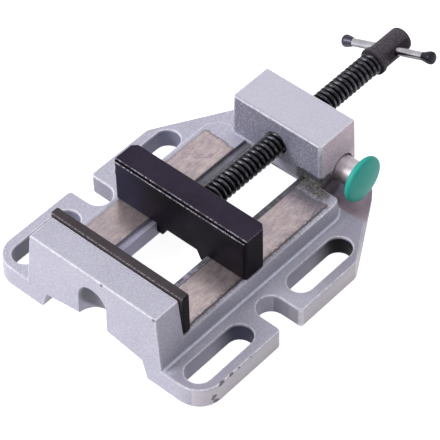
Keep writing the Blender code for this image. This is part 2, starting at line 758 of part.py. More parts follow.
def movable_jaw(surface, carriage):
    """The movable jaw with its keel, the spindle's seat and the holes for pins and screws."""
    half_width = JAW_WIDTH / 2
    chamfer = JAW_CORNER_CHAMFER
    front = JAW_OPENING
    rear = MOVABLE_JAW_REAR
    half = [(half_width - JAW_FRONT_CHAMFER, front), (half_width, front + JAW_FRONT_CHAMFER),
            (half_width, rear - chamfer), (half_width - chamfer, rear)]
    jaw = flat("movable_jaw", mirrored(half), JAW_SEAT, JAW_SEAT + MOVABLE_JAW_HEIGHT)
    round_edges(jaw, JAW_EDGE_ROUND)
    join(jaw, *jaw_keel())
    journal = rod("journal_seat", JOURNAL_RADIUS + BORE_GAP, (0, rear + OVERLAP, SPINDLE_HEIGHT),
                  (0, SHOULDER_Y - JOURNAL_LENGTH - SEAT_GAP, SPINDLE_HEIGHT))
    cut(jaw, jaw_step(), keel_arch(), journal)
    for side in (-1, 1):
        x, pin_y, low, high = retaining_pin_span(side)
        hole = rod("pin_hole", RETAINING_PIN_RADIUS + BORE_GAP, (x, pin_y, low - 2 * OVERLAP),
                   (x, pin_y, high + SEAT_GAP), SMALL_SIDES)
        place = keeper_screw_place(side)
        reach = KEEPER_SCREW_LENGTH + SEAT_GAP
        y = place[1] + JAW_OPENING
        tapped = rod("keeper_screw_hole", KEEPER_SCREW_RADIUS + BORE_GAP, (place[0], y, place[2]),
                     (place[0], y, place[2] + reach), SMALL_SIDES)
        cut(jaw, hole, tapped)
    bake(jaw)
    jaw.data.transform(Matrix.Translation((0, -JAW_OPENING, 0)))
    shade_round(jaw.data)
    return finish(jaw, "movable_jaw", surface, carriage)


def retaining_pin_span(side):
    """Where a retaining pin stands beside the spindle's groove: x, y, foot and top."""
    x = side * RETAINING_PIN_X
    return x, GROOVE_Y, KEEL_REAR_FOOT + SEAT_GAP, SPINDLE_HEIGHT + RETAINING_PIN_OVER_AXIS


def retaining_pins(surface, carriage):
    """The two pins that keep the spindle's journal in the jaw."""
    for side, word in ((-1, "left"), (1, "right")):
        x, y, low, high = retaining_pin_span(side)
        name = "spindle_retaining_pin_" + word
        pin = rod(name, RETAINING_PIN_RADIUS, (0, 0, 0), (0, 0, high - low), SMALL_SIDES)
        pin.location = (x, y - JAW_OPENING, low)
        shade_round(pin.data)
        finish(pin, name, surface, carriage)


def keeper(surface, screw_surface, carriage):
    """The plate that hooks the jaw under the ways, and its two screws."""
    low = (-KEEPER_WIDTH / 2, KEEPER_FRONT - JAW_OPENING, KEEPER_TOP - KEEPER_THICKNESS)
    high = (KEEPER_WIDTH / 2, low[1] + KEEPER_DEPTH, KEEPER_TOP)
    plate = block("keeper_plate", low, high)
    round_edges(plate, JAW_EDGE_ROUND, 1)
    for side, word in ((-1, "left"), (1, "right")):
        x, y, z = keeper_screw_place(side)
        hole = countersink_cutter("keeper_countersink", KEEPER_SCREW_RADIUS, KEEPER_THICKNESS * 2)
        hole.parent = carriage
        cut(plate, along(hole, (0, 0, -1), (x, y, z)))
        name = "keeper_screw_" + word
        screw = countersunk_screw(name, KEEPER_SCREW_RADIUS, KEEPER_SCREW_LENGTH, carriage,
                                  screw_surface)
        along(screw, (0, 0, -1), (x, y, z + HEAD_SINK))
    finish(plate, "keeper_plate", surface, carriage)


def spindle(surface, axis):
    """The spindle along its axis empty: journal with groove, screw length and head spigot."""
    shoulder = SHOULDER_Y
    end = HEAD_START - SEAT_GAP
    edge = 0.5 * MM
    groove_low = GROOVE_Y - shoulder - GROOVE_WIDTH / 2
    groove_high = groove_low + GROOVE_WIDTH
    length = end - shoulder
    spigot_end = length + SPIGOT_LENGTH
    profile = [(0, spigot_end), (SPIGOT_RADIUS - edge, spigot_end), (SPIGOT_RADIUS, spigot_end - edge),
               (SPIGOT_RADIUS, length), (SPINDLE_RADIUS, length), (SPINDLE_RADIUS, edge),
               (SPINDLE_RADIUS - edge, 0), (JOURNAL_RADIUS, 0), (JOURNAL_RADIUS, groove_high),
               (GROOVE_RADIUS, groove_high), (GROOVE_RADIUS, groove_low),
               (JOURNAL_RADIUS, groove_low), (JOURNAL_RADIUS, edge - JOURNAL_LENGTH),
               (JOURNAL_RADIUS - edge, -JOURNAL_LENGTH), (0, -JOURNAL_LENGTH)]
    screw = turned("spindle", profile, FINE_SIDES)
    along(screw, (0, 1, 0), (0, 0, 0))
    pin_hole = head_pin_cutter()
    pin_hole.parent = axis
    cut(screw, pin_hole)
    return finish(screw, "spindle", surface, axis)


def head_pin_cutter():
    """Hole for the pin that fixes the head to the spindle's spigot, open at the underside."""
    y = HEAD_PIN_Y - SHOULDER_Y
    radius = HEAD_PIN_RADIUS + BORE_GAP
    high = SPIGOT_RADIUS + SEAT_GAP
    return rod("head_pin_hole", radius, (0, y, -2 * HEAD_RADIUS), (0, y, high), SMALL_SIDES)


def spindle_head(surface, axis):
    """The turned head with its collar, bored for the spindle's spigot and for the bar."""
    collar = [(COLLAR_RADIUS - 0.6 * MM, 0), (COLLAR_RADIUS, 0.6 * MM),
              (COLLAR_RADIUS, COLLAR_LENGTH - COLLAR_TAPER), (HEAD_RADIUS, COLLAR_LENGTH)]
    crown = arc((HEAD_RADIUS - HEAD_END_ROUND, HEAD_LENGTH - HEAD_END_ROUND), HEAD_END_ROUND, 90, 0, 4)
    socket = SPIGOT_RADIUS + BORE_GAP
    depth = SPIGOT_LENGTH
    profile = [(0, HEAD_LENGTH), *crown, *reversed(collar), (socket, 0), (socket, depth), (0, depth)]
    head = turned("spindle_head", profile, FINE_SIDES)
    along(head, (0, 1, 0), (0, HEAD_START - SHOULDER_Y, 0))
    pin_hole = head_pin_cutter()
    pin_hole.parent = axis
    reach = Vector((math.cos(BAR_TILT), 0, math.sin(BAR_TILT))) * COLLAR_RADIUS * 2
    centre = Vector((0, BAR_Y - SHOULDER_Y, 0))
    bar_hole = rod("bar_hole", BAR_RADIUS + BORE_GAP, centre - reach, centre + reach, SMALL_SIDES)
    bar_hole.parent = axis
    cut(head, pin_hole, bar_hole)
    return finish(head, "spindle_head", surface, axis)


def head_pin(surface, axis):
    """The pin through the head and the spigot, flush with the head's underside."""
    length = SPIGOT_RADIUS + HEAD_RADIUS - SEAT_GAP
    pin = rod("head_pin", HEAD_PIN_RADIUS, (0, 0, -length), (0, 0, 0), SMALL_SIDES)
    pin.location = (0, HEAD_PIN_Y - SHOULDER_Y, SPIGOT_RADIUS)
    shade_round(pin.data)
    finish(pin, "head_pin", surface, axis)


def handle_bar(surface, end_surface, slide):
    """The sliding bar with a small tenon at each end, and its two end knobs."""
    shoulder = BAR_LENGTH / 2 - BAR_END_LENGTH
    tenon_end = shoulder + BAR_TENON_LENGTH
    profile = [(0, tenon_end), (BAR_TENON_RADIUS, tenon_end), (BAR_TENON_RADIUS, shoulder),
               (BAR_RADIUS, shoulder), (BAR_RADIUS, -shoulder), (BAR_TENON_RADIUS, -shoulder),
               (BAR_TENON_RADIUS, -tenon_end), (0, -tenon_end)]
    bar = turned("tommy_bar", profile, SMALL_SIDES)
    along(bar, (1, 0, 0), (0, 0, 0))
    finish(bar, "tommy_bar", surface, slide)
    for side, word in ((-1, "left"), (1, "right")):
        name = "bar_end_" + word
        end = turned(name, bar_end_profile(), SMALL_SIDES)
        along(end, (side, 0, 0), (side * (shoulder + SEAT_GAP), 0, 0))
        finish(end, name, end_surface, slide)


def bar_end_profile():
    """A knob that flares from the bar's size to a domed end, with a socket for the tenon."""
    length = BAR_END_LENGTH - SEAT_GAP
    dome_height = 1.2 * MM
    dome = []
    for n in range(5):
        angle = math.radians(90 - 90 * n / 4)
        dome.append((BAR_END_RADIUS * math.cos(angle), length - dome_height * (1 - math.sin(angle))))
    socket = BAR_TENON_RADIUS + BORE_GAP
    depth = BAR_TENON_LENGTH
    return [(0, length), *dome[1:], (BAR_END_RADIUS, BAR_END_CONE), (BAR_RADIUS + 0.1 * MM, 0),
            (socket, 0), (socket, depth), (0, depth)]


def release_plunger(surface, axis):
    """The cross plunger, notched so that only one flank of the notch reaches the spindle."""
    edge = 0.5 * MM
    tenon_end = PLUNGER_SHOULDER + CAP_TENON_LENGTH
    profile = [(0, tenon_end), (CAP_TENON_RADIUS, tenon_end), (CAP_TENON_RADIUS, PLUNGER_SHOULDER),
               (PLUNGER_RADIUS, PLUNGER_SHOULDER), (PLUNGER_RADIUS, PLUNGER_INNER_END + edge),
               (PLUNGER_RADIUS - edge, PLUNGER_INNER_END), (0, PLUNGER_INNER_END)]
    plunger = turned("release_plunger", profile)
    along(plunger, (1, 0, 0), (0, 0, 0))
    radius = SPINDLE_RADIUS + BORE_GAP
    rise = SPINDLE_HEIGHT - PLUNGER_HEIGHT
    reach = RELEASE_TRAVEL + BORE_GAP
    oval = arc((reach, rise), radius, -90, 90, 12) + arc((0, rise), radius, 90, 270, 12)
    notch = prism("spindle_notch", oval, "Y", -2 * PLUNGER_RADIUS, 2 * PLUNGER_RADIUS)
    notch.parent = axis
    cut(plunger, notch)
    return finish(plunger, "release_plunger", surface, axis)


def button_cap(surface, axis):
    """The round push button, domed outside and socketed for the plunger's tenon."""
    face = CAP_THICKNESS
    rim = arc((CAP_RADIUS - CAP_RIM, CAP_RIM), CAP_RIM, 50, -60, 6)
    start_radius, start_height = rim[0]
    dome = []
    for n in range(6):
        share = n / 6
        dome.append((start_radius * share, face - (face - start_height) * share ** 2))
    socket = CAP_TENON_RADIUS + BORE_GAP
    depth = CAP_TENON_LENGTH
    profile = [*dome, *rim, (CAP_RADIUS - CAP_RIM, 0), (socket, 0), (socket, depth), (0, depth)]
    cap = turned("button_cap", profile, FINE_SIDES)
    along(cap, (1, 0, 0), (PLUNGER_SHOULDER + SEAT_GAP, 0, 0))
    return finish(cap, "button_cap", surface, axis)


def release_spring(surface, axis):
    """The compression spring between the blind end of the cross hole and the plunger."""
    start = PLUNGER_BORE_END + SEAT_GAP + SPRING_WIRE_RADIUS
    end = PLUNGER_INNER_END - SEAT_GAP - SPRING_WIRE_RADIUS
    steps_per_turn = 12
    count = SPRING_TURNS * steps_per_turn
    curve = bpy.data.curves.new("release_spring", "CURVE")
    curve.dimensions = "3D"
    curve.bevel_depth = SPRING_WIRE_RADIUS
    curve.bevel_resolution = 2
    curve.use_fill_caps = True
    spline = curve.splines.new("POLY")
    spline.points.add(count)
    for n, point in enumerate(spline.points):
        angle = 2 * math.pi * n / steps_per_turn
        x = start + (end - start) * n / count
        point.co = (x, SPRING_RADIUS * math.cos(angle), SPRING_RADIUS * math.sin(angle), 1)
    item = add_object("release_spring", curve)
    return finish(item, "release_spring", surface, axis)


def build():
    """Make every piece and hang it on its place."""
    paint = material("silver_grey_paint", (0.47, 0.47, 0.56), 0.5, 0.3)
    dark_steel = material("gunmetal", (0.05, 0.048, 0.05), 0.45, 0.8)
    black_steel = material("black_jaw", (0.03, 0.028, 0.035), 0.4, 0.4)
    black_thread = material("black_oxide", (0.01, 0.01, 0.012), 0.25, 0.7)
    head_steel = material("dark_head", (0.05, 0.045, 0.05), 0.55, 0.5)
    chrome = material("bright_steel", (0.7, 0.7, 0.7), 0.15, 1)
    knob = material("bar_knob", (0.12, 0.12, 0.13), 0.3, 0.8)
    raw_steel = material("raw_steel", (0.5, 0.48, 0.46), 0.35, 1)
    teal = material("teal_plastic", (0.05, 0.33, 0.25), 0.4, 0)

    root = empty("vise", (0, -CENTRE_Y, 0))
    carriage = empty("jaw_carriage", (0, JAW_OPENING, 0), root)
    screw_axis = empty("screw_axis", (0, SHOULDER_Y - JAW_OPENING, SPINDLE_HEIGHT), carriage)
    bar_slide = empty("bar_slide", (0, BAR_Y - SHOULDER_Y, 0), screw_axis)
    bar_slide.rotation_euler.y = -BAR_TILT
    plunger_axis = empty("plunger_axis", (0, PLUNGER_Y, PLUNGER_HEIGHT), root)

    base_casting(paint, root)
    fixed_jaw_plate(dark_steel, root)
    plate_screws(raw_steel, root)
    movable_jaw(black_steel, carriage)
    retaining_pins(raw_steel, carriage)
    keeper(black_steel, raw_steel, carriage)
    spindle(black_thread, screw_axis)
    spindle_head(head_steel, screw_axis)
    head_pin(raw_steel, screw_axis)
    handle_bar(chrome, knob, bar_slide)
    release_plunger(raw_steel, plunger_axis)
    button_cap(teal, plunger_axis)
    release_spring(raw_steel, plunger_axis)


build()
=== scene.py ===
# %% [markdown]
# # A drill-press vise with a quick-release screw
# A vise like this is one iron casting that carries two steel jaws, a long black screw and a sprung
# release button. The shapes come from a packed CAD model, one object for each piece of the vise.
# This lesson gives each piece the edges, thread and finish that a camera sees. It starts with an
# empty scene and the CAD frame, and keeps the size of the frame to compare with at the end.

# %% Load the packed model
import json
import math

import bmesh
import bpy
from mathutils import Matrix, Quaternion, Vector

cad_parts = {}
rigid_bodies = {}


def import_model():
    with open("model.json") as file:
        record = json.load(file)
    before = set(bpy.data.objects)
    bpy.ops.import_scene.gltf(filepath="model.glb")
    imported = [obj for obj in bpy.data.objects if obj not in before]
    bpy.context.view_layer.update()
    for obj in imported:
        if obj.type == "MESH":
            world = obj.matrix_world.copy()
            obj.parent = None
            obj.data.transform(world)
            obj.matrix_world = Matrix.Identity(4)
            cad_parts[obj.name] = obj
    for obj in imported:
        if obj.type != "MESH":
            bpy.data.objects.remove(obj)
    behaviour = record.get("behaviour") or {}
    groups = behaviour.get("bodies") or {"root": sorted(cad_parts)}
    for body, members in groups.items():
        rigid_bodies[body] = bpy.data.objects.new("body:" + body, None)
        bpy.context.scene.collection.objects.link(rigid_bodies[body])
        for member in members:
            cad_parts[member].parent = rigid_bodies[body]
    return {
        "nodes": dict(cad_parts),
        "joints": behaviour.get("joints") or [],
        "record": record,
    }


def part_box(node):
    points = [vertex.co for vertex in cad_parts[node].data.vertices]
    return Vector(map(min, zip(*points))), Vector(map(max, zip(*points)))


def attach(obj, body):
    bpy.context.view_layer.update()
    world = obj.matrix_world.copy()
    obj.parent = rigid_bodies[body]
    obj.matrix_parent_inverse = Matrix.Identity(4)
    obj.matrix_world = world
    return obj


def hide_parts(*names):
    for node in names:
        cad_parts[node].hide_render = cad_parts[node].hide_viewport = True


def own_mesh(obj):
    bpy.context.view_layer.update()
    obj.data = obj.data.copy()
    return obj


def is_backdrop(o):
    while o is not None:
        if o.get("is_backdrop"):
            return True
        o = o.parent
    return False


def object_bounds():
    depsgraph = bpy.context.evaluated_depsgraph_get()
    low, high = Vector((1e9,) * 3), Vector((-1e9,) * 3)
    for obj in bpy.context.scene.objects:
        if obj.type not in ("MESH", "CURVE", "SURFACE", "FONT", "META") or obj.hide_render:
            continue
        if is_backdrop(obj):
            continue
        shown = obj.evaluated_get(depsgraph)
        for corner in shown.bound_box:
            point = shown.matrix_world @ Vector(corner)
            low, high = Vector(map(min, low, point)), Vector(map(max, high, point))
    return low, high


for leftover in list(bpy.data.objects):
    bpy.data.objects.remove(leftover)
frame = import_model()
cad_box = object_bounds()
MM = 0.001


def in_mm(lengths, digits=1):
    """Lengths in metres as rounded millimetres, to print."""
    return [round(length / MM, digits) for length in lengths]


print("CAD pieces:", len(frame["nodes"]), "size in mm:", in_mm(cad_box[1] - cad_box[0]))

# %% [markdown]
# ## Where things are
# Every finish below is painted by place, so the few places that matter are found once: the work
# face of the fixed jaw, the tops of the ways and of the flange, the screw block behind the ways,
# and the axes of the screw and of the release button. Along the vise, a place is given as a
# distance behind the fixed jaw's face, as a maker would measure it.

# %% Find the main places
CASTING_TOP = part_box("base_casting")[1].z
JAW_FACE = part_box("fixed_jaw_plate")[1].y


def behind_jaw(distance):
    """The y of a place that many millimetres behind the fixed jaw's face."""
    return JAW_FACE + distance * MM


WAY_TOP = 20.5 * MM
FLANGE_TOP = 11.5 * MM
BLOCK_FRONT = behind_jaw(103.7)
BLOCK_SIDE = 27.6 * MM
SCREW_AXIS = sum(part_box("spindle"), Vector()) / 2
BUTTON_AXIS = sum(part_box("button_cap"), Vector()) / 2
print("jaw face at y", in_mm([JAW_FACE]), "screw axis", in_mm(SCREW_AXIS))

# %% [markdown]
# ## The camera
# The photograph was taken from high up on the right, with a long lens from about a metre away, so
# the long edges hardly converge. A long lens is a large focal length on the usual 36 mm sensor.

# %% Set up the camera
CAMERA_PLACE = Vector((0.5141, -0.5828, 0.8364))
CAMERA_LOOK = Vector((-0.4582, 0.4981, -0.7362))
CAMERA_ROLL = math.radians(1.43)

camera = bpy.data.objects.new("camera", bpy.data.cameras.new("camera"))
bpy.context.scene.collection.objects.link(camera)
camera.data.sensor_width = 36
camera.data.lens = 197.69
camera.rotation_mode = "QUATERNION"
upright = CAMERA_LOOK.to_track_quat("-Z", "Y")
camera.rotation_quaternion = Quaternion(CAMERA_LOOK, CAMERA_ROLL) @ upright
camera.location = CAMERA_PLACE
bpy.context.scene.camera = camera
print("camera is", round(CAMERA_PLACE.length, 2), "m from the middle of the vise")

# %% [markdown]
# ## Sums with sockets
# A finish is a sum of masks and noises, which is slow to read as a web of nodes. This small class
# holds one output of a node, and Python's own signs add the Math nodes, so that a mask can be
# written as `1 - worn * noise`. Colours and vectors have their own helpers, because a Math node
# would turn a colour grey.

# %% Wrap a socket
class Field:
    """A number, colour or vector that varies over a surface."""

    def __init__(self, finish, socket):
        self.finish = finish
        self.socket = socket

    def math(self, operation, *values):
        return self.finish.node(
            "ShaderNodeMath", {"operation": operation}, dict(enumerate(values)))

    def __add__(self, other):
        return self.math("ADD", self, other)

    def __sub__(self, other):
        return self.math("SUBTRACT", self, other)

    def __rsub__(self, other):
        return self.math("SUBTRACT", other, self)

    def __mul__(self, other):
        return self.math("MULTIPLY", self, other)

    def __truediv__(self, other):
        return self.math("DIVIDE", self, other)

    def __rtruediv__(self, other):
        return self.math("DIVIDE", other, self)

    def __pow__(self, other):
        return self.math("POWER", self, other)

    def __gt__(self, other):
        return self.math("GREATER_THAN", self, other)

    def __lt__(self, other):
        return self.math("LESS_THAN", self, other)

    def __abs__(self):
        return self.math("ABSOLUTE", self)

    def __neg__(self):
        return self * -1

    __radd__ = __add__
    __rmul__ = __mul__


print("signs that also work with a number on the left:",
      [word for word in vars(Field) if word.startswith("__r")])

# %% [markdown]
# ## A finish
# A finish is one material on the Principled shader. `node` adds any node: its settings come first,
# because they decide which sockets it has, then its values or links. Whatever is the same all over
# a piece is set on the shader's own socket. A finish also keeps the colour that it has so far, and
# `cover` lays the next colour over it where a mask is 1, as a painter works from the ground up.

# %% Build a finish from nodes
def linear(red, green, blue):
    """A colour as a screen shows it, turned into the light that it stands for."""
    light = [c / 12.92 if c <= 0.04045 else ((c + 0.055) / 1.055) ** 2.4
             for c in (red, green, blue)]
    return (*light, 1)


class Paint:
    """A material on the Principled shader, with any node added by one method."""

    def __init__(self, name, **constants):
        self.material = bpy.data.materials.new(name)
        self.material.use_nodes = True
        self.tree = self.material.node_tree
        self.shader = self.tree.nodes["Principled BSDF"]
        for word, value in constants.items():
            self.shader.inputs[word.replace("_", " ")].default_value = value
        self.place = self.node("ShaderNodeTexCoord", output="Object")
        parts = self.node("ShaderNodeSeparateXYZ", None, {0: self.place}).socket.node.outputs
        self.x, self.y, self.z = [Field(self, socket) for socket in parts]

    def node(self, kind, settings=None, values=None, output=0):
        made = self.tree.nodes.new(kind)
        for word, value in (settings or {}).items():
            if word == "stops":
                self.set_stops(made.color_ramp, value)
            else:
                setattr(made, word, value)
        for word, value in (values or {}).items():
            if isinstance(value, Field):
                self.tree.links.new(value.socket, made.inputs[word])
            else:
                made.inputs[word].default_value = value
        return Field(self, made.outputs[output])

    def set_stops(self, ramp, stops):
        while len(ramp.elements) < len(stops):
            ramp.elements.new(0.5)
        for element, (place, colour) in zip(ramp.elements, stops):
            element.position = place
            element.color = colour

    def link(self, **links):
        """Feed the shader's sockets, written with _ for a space."""
        for word, value in links.items():
            self.tree.links.new(value.socket, self.shader.inputs[word.replace("_", " ")])

    def mix(self, share, first, second):
        return self.node("ShaderNodeMix", {"data_type": "RGBA"}, {0: share, 6: first, 7: second}, 2)

    def cover(self, mask, colour):
        """Lay a colour over the one so far where a mask is 1."""
        self.colour = self.mix(mask, self.colour, colour)


print("paint grey as light:", [round(c, 3) for c in linear(0.72, 0.71, 0.78)])

# %% [markdown]
# ## Masks and noises
# A mask says where on the vise a finish changes. Nearly all masks here are one of four: a soft
# step, a soft band, a ball round a point, or noise cut into patches. Each is a short method on top
# of `node`, so that the cells below read as sentences about places and not about nodes.

# %% Name the masks
EDGE_MARK = "edge_mark"
CREST_MARK = "crest_mark"


class Finish(Paint):
    """A paint or metal with the few masks and noises that all of them are made of."""

    def ramp(self, value, low, high):
        """0 below low, 1 above high and smooth between them."""
        ends = {"Value": value, "From Min": low, "From Max": high}
        return self.node("ShaderNodeMapRange", {"interpolation_type": "SMOOTHSTEP"}, ends)

    def band(self, value, middle, width):
        """1 where a value is within half a width of the middle, with soft ends."""
        return 1 - self.ramp(abs(value - middle), width * 0.3, width * 0.7)

    def distance(self, point, place=None):
        ends = {0: place or self.place, 1: point}
        return self.node("ShaderNodeVectorMath", {"operation": "DISTANCE"}, ends, 1)

    def from_axis(self, across, axis):
        """The distance to a straight axis, from a place with only its two cross directions kept."""
        flat = self.node(
            "ShaderNodeVectorMath", {"operation": "MULTIPLY"}, {0: self.place, 1: across})
        return self.distance(axis, flat)

    def near(self, point, radius, soft):
        """1 round a point, fading to 0 at the radius."""
        return 1 - self.ramp(self.distance(point), radius * (1 - soft), radius)

    def either(self, *masks):
        """The largest of several masks."""
        result = masks[0]
        for mask in masks[1:]:
            result = result.math("MAXIMUM", result, mask)
        return result

    def stretched(self, x, y, z):
        """The place with each direction scaled, so that a pattern gets longer or shorter in it."""
        return self.node("ShaderNodeMapping", None, {"Vector": self.place, "Scale": (x, y, z)})

    def noise(self, size, detail=3, rough=0.5, place=None, shift=0):
        """Soft random values from 0 to 1, with lumps of about the given size."""
        return self.node(
            "ShaderNodeTexNoise", {"noise_dimensions": "4D"},
            {"Vector": place or self.place, "W": shift, "Scale": 1 / size,
             "Detail": detail, "Roughness": rough})

    def patchy(self, size, low, high, **noise):
        """Noise cut into patches: 0 where it is below low and 1 where it is above high."""
        return self.ramp(self.noise(size, **noise), low, high)

    def stored(self, name):
        """A mark that is stored on the mesh, such as EDGE_MARK or CREST_MARK."""
        return self.node("ShaderNodeAttribute", {"attribute_name": name}, output="Fac")

    def outside_edges(self):
        """1 on the faces of rounded outside edges."""
        return self.ramp(self.stored(EDGE_MARK), 0.2, 0.9)

    def bump(self, height, depth, strength):
        """A surface pushed out by a height from 0 to 1, times a depth in metres."""
        rise = {"Strength": strength, "Distance": depth, "Height": height}
        return self.node("ShaderNodeBump", None, rise)


print("masks:", [word for word in vars(Finish) if not word.startswith("_")])

# %% [markdown]
# ## Marking the rounded edges
# Wear shows first on outside edges, where bare metal shines through, and outside edges and inside
# corners also get painted highlights. The rounded edges of the CAD model are narrow strips of
# faces, so a face is a strip if it is much narrower than it is long, and the sign of its bend tells
# outside from inside. One mark is stored for each face. A second one is stored for each point: it
# is
# 1 where only strips meet, which is the very crest of a rounded edge, so a finish can draw a line
# thinner than the strips.

# %% Mark rounded strips
STRIP_WIDTH = 1.1 * MM
LEAST_BEND = 0.2


def mark_edges(piece):
    """Store 1 on rounded outside edges and -1 on inside corners, and mark the crests."""
    form = bmesh.new()
    form.from_mesh(piece.data)
    marks = []
    for face in form.faces:
        longest = max(edge.calc_length() for edge in face.edges)
        bend = sum(edge.calc_face_angle_signed(0) * edge.calc_length() for edge in face.edges)
        narrow = face.calc_area() < longest * STRIP_WIDTH
        bent = abs(bend) > longest * LEAST_BEND
        marks.append(math.copysign(1, bend) if narrow and bent else 0)
    crests = [min((marks[face.index] for face in corner.link_faces), default=0)
              for corner in form.verts]
    form.free()
    for name, domain, values in ((EDGE_MARK, "FACE", marks), (CREST_MARK, "POINT", crests)):
        piece.data.attributes.new(name, "FLOAT", domain).data.foreach_set("value", values)


print("a strip is narrower than", STRIP_WIDTH / MM, "mm")

# %% [markdown]
# ## Taking a piece over from the CAD model
# A CAD mesh is a heap of loose, flat triangles, and light breaks on each of them. A copy can be
# welded into one skin: doubles are merged, coplanar triangles become whole faces, and edges under
# a chosen angle are shaded smooth. A weighted-normal modifier then keeps large flats flat, so that
# only the narrow rounded strips catch the light, as a cast or ground edge does.

# %% Copy a CAD piece as a smooth skin
BODIES = frame["record"]["behaviour"]["bodies"]
BODY_OF = {name: body for body, names in BODIES.items() for name in names}


def select_only(piece):
    bpy.ops.object.select_all(action="DESELECT")
    piece.select_set(True)
    bpy.context.view_layer.objects.active = piece


def smooth(piece, angle):
    """Shade edges under an angle smooth and keep the large faces flat."""
    select_only(piece)
    bpy.ops.object.shade_smooth_by_angle(angle=math.radians(angle))
    even = piece.modifiers.new("even shading", "WEIGHTED_NORMAL")
    even.keep_sharp = True
    bpy.ops.object.modifier_apply(modifier=even.name)


def take_place(piece, node, finish):
    """Let a piece stand for a CAD node, on its body and in its material slot."""
    piece.data.materials.clear()
    piece.data.materials.append(finish.material)
    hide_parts(node)
    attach(piece, BODY_OF[node])


def skin(node, name, finish, angle=36):
    """A welded copy of a CAD node with its edges marked."""
    piece = bpy.data.objects.new(name, frame["nodes"][node].data.copy())
    bpy.context.scene.collection.objects.link(piece)
    select_only(piece)
    bpy.ops.object.mode_set(mode="EDIT")
    bpy.ops.mesh.select_all(action="SELECT")
    bpy.ops.mesh.customdata_custom_splitnormals_clear()
    bpy.ops.mesh.remove_doubles(threshold=0.01 * MM)
    bpy.ops.mesh.dissolve_limited(angle_limit=math.radians(0.3))
    bpy.ops.object.mode_set(mode="OBJECT")
    mark_edges(piece)
    smooth(piece, angle)
    take_place(piece, node, finish)
    print(name, "faces", len(piece.data.polygons))
    return piece


print("bodies:", list(BODIES))

# %% [markdown]
# ## Painted iron
# The casting is sprayed with silver-grey hammer paint, which dries in tiny shallow dimples. The
# dimples are a smooth Voronoi pattern of under a millimetre, and they show more as relief than as
# colour: in full light the paint looks even, and in the shade it looks speckled. A little flake
# makes it slightly metallic. After painting, the ways were milled bare, and so was the round face
# under the release button. Both are painted here by place, which is easier than cutting the mesh,
# because the cutter left an uneven border.

# %% The casting's paint
DIMPLE = 0.9 * MM
iron = Finish("silver_grey_hammer_paint", Specular_IOR_Level=0.45)
dimples = iron.node(
    "ShaderNodeTexVoronoi", {"feature": "SMOOTH_F1"},
    {"Vector": iron.place, "Scale": 1 / DIMPLE, "Smoothness": 0.6, "Randomness": 1})
grain = iron.noise(0.45 * MM, rough=0.6)
clouds = iron.noise(22 * MM, detail=2)
hammer = dimples * 0.6 + grain * 0.5
iron.colour = iron.mix(
    iron.ramp(hammer + clouds * 0.3, 0.3, 1),
    linear(0.645, 0.638, 0.705), linear(0.755, 0.748, 0.81))
print("hammer paint uses", len(iron.tree.nodes), "nodes so far")

# %% [markdown]
# ## Painted shade and light on the flange and niche
# The top of the right flange gets painted shade, deepest at its two ends, and so does the niche of
# the fixed block, darkest on the side away from the button. The outer wall of the right flange gets
# painted light instead, so it is paler.

# %% The right flange and the niche
NICHE = (0, behind_jaw(-14), 24 * MM)
NICHE_RADIUS = 11.5 * MM
shade_rear = iron.ramp(iron.y, behind_jaw(55), behind_jaw(85))
shade_front = 1 - iron.ramp(iron.y, behind_jaw(-10), behind_jaw(20))
flange_shade = iron.band(iron.z, FLANGE_TOP, 1 * MM) * iron.ramp(iron.x, 44 * MM, 49 * MM)
flange_shade = flange_shade * (0.3 + 0.6 * shade_front + 0.6 * shade_rear)
# painted shade on top of the right flange, deepest at both ends
iron.cover(flange_shade * 0.7, linear(0.55, 0.515, 0.59))
niche_shade_colour = iron.mix(
    iron.ramp(iron.x, -7 * MM, 3 * MM), linear(0.34, 0.34, 0.38), linear(0.53, 0.53, 0.55))
# painted shade in the niche, darkest on the side away from the button
iron.cover(iron.near(NICHE, NICHE_RADIUS, 0.2) * 0.9, niche_shade_colour)
lit_right_flank = (iron.z < FLANGE_TOP - 1 * MM) * (iron.x > 58 * MM)
# painted light on the outer wall of the right flange
iron.cover(lit_right_flank * (0.55 + 0.25 * shade_rear), linear(0.88, 0.84, 0.87))
print("niche at", in_mm(NICHE), "radius", in_mm([NICHE_RADIUS]))

# %% [markdown]
# ## Inside the bolt slots
# The walls of the four slots and of the two side notches get painted shade, so they are darker than
# the top, and the left and right walls get different shade. A slot is two half rounds with a
# straight piece between them: a point is inside if it is near the slot's middle line. The right
# slots get the deepest painted shade at their rear ends, and a high metallic share there dims the
# shine too.

# %% Walls of the slots and notches
SLOT_X = 53.35 * MM
SLOT_STRAIGHT = 13.5 * MM
SLOT_REACH = 6.9 * MM
NOTCH_REACH = 7.2 * MM
NOTCH_INNER = 49.8 * MM
SLOT_END_SHADES = {behind_jaw(3.2): linear(0.2, 0.2, 0.28), behind_jaw(72.4): linear(0.02, 0.02, 0.05)}
side = abs(iron.x)
on_right = iron.x > 0
across = abs(side - SLOT_X)
below_flange = 1 - iron.ramp(iron.z, FLANGE_TOP - 1.6 * MM, FLANGE_TOP - 0.6 * MM)
shaded_slot_ends = 0
for middle, end_shade in SLOT_END_SHADES.items():
    along = iron.y - middle
    beyond = along.math("MAXIMUM", abs(along) - SLOT_STRAIGHT, 0)
    in_slot = ((across ** 2 + beyond ** 2) ** 0.5 < SLOT_REACH) * below_flange
    to_end = iron.ramp(along, -8 * MM, 16 * MM)
    left_shade = iron.mix(to_end, linear(0.43, 0.43, 0.48), linear(0.48, 0.48, 0.57))
    right_shade = iron.mix(to_end, linear(0.64, 0.63, 0.71), end_shade)
    # painted shade on the slot walls, deepest at the right slots' rear ends
    iron.cover(in_slot * (0.86 + 0.14 * to_end), iron.mix(on_right, left_shade, right_shade))
    shaded_slot_ends = in_slot * on_right * to_end + shaded_slot_ends
in_notch = (abs(iron.y - behind_jaw(38.3)) < NOTCH_REACH) * (side > NOTCH_INNER) * below_flange
# painted shade on the walls of the side notches
iron.cover(in_notch * 0.6, linear(0.42, 0.41, 0.48))
print("slot middles at y", in_mm(SLOT_END_SHADES))
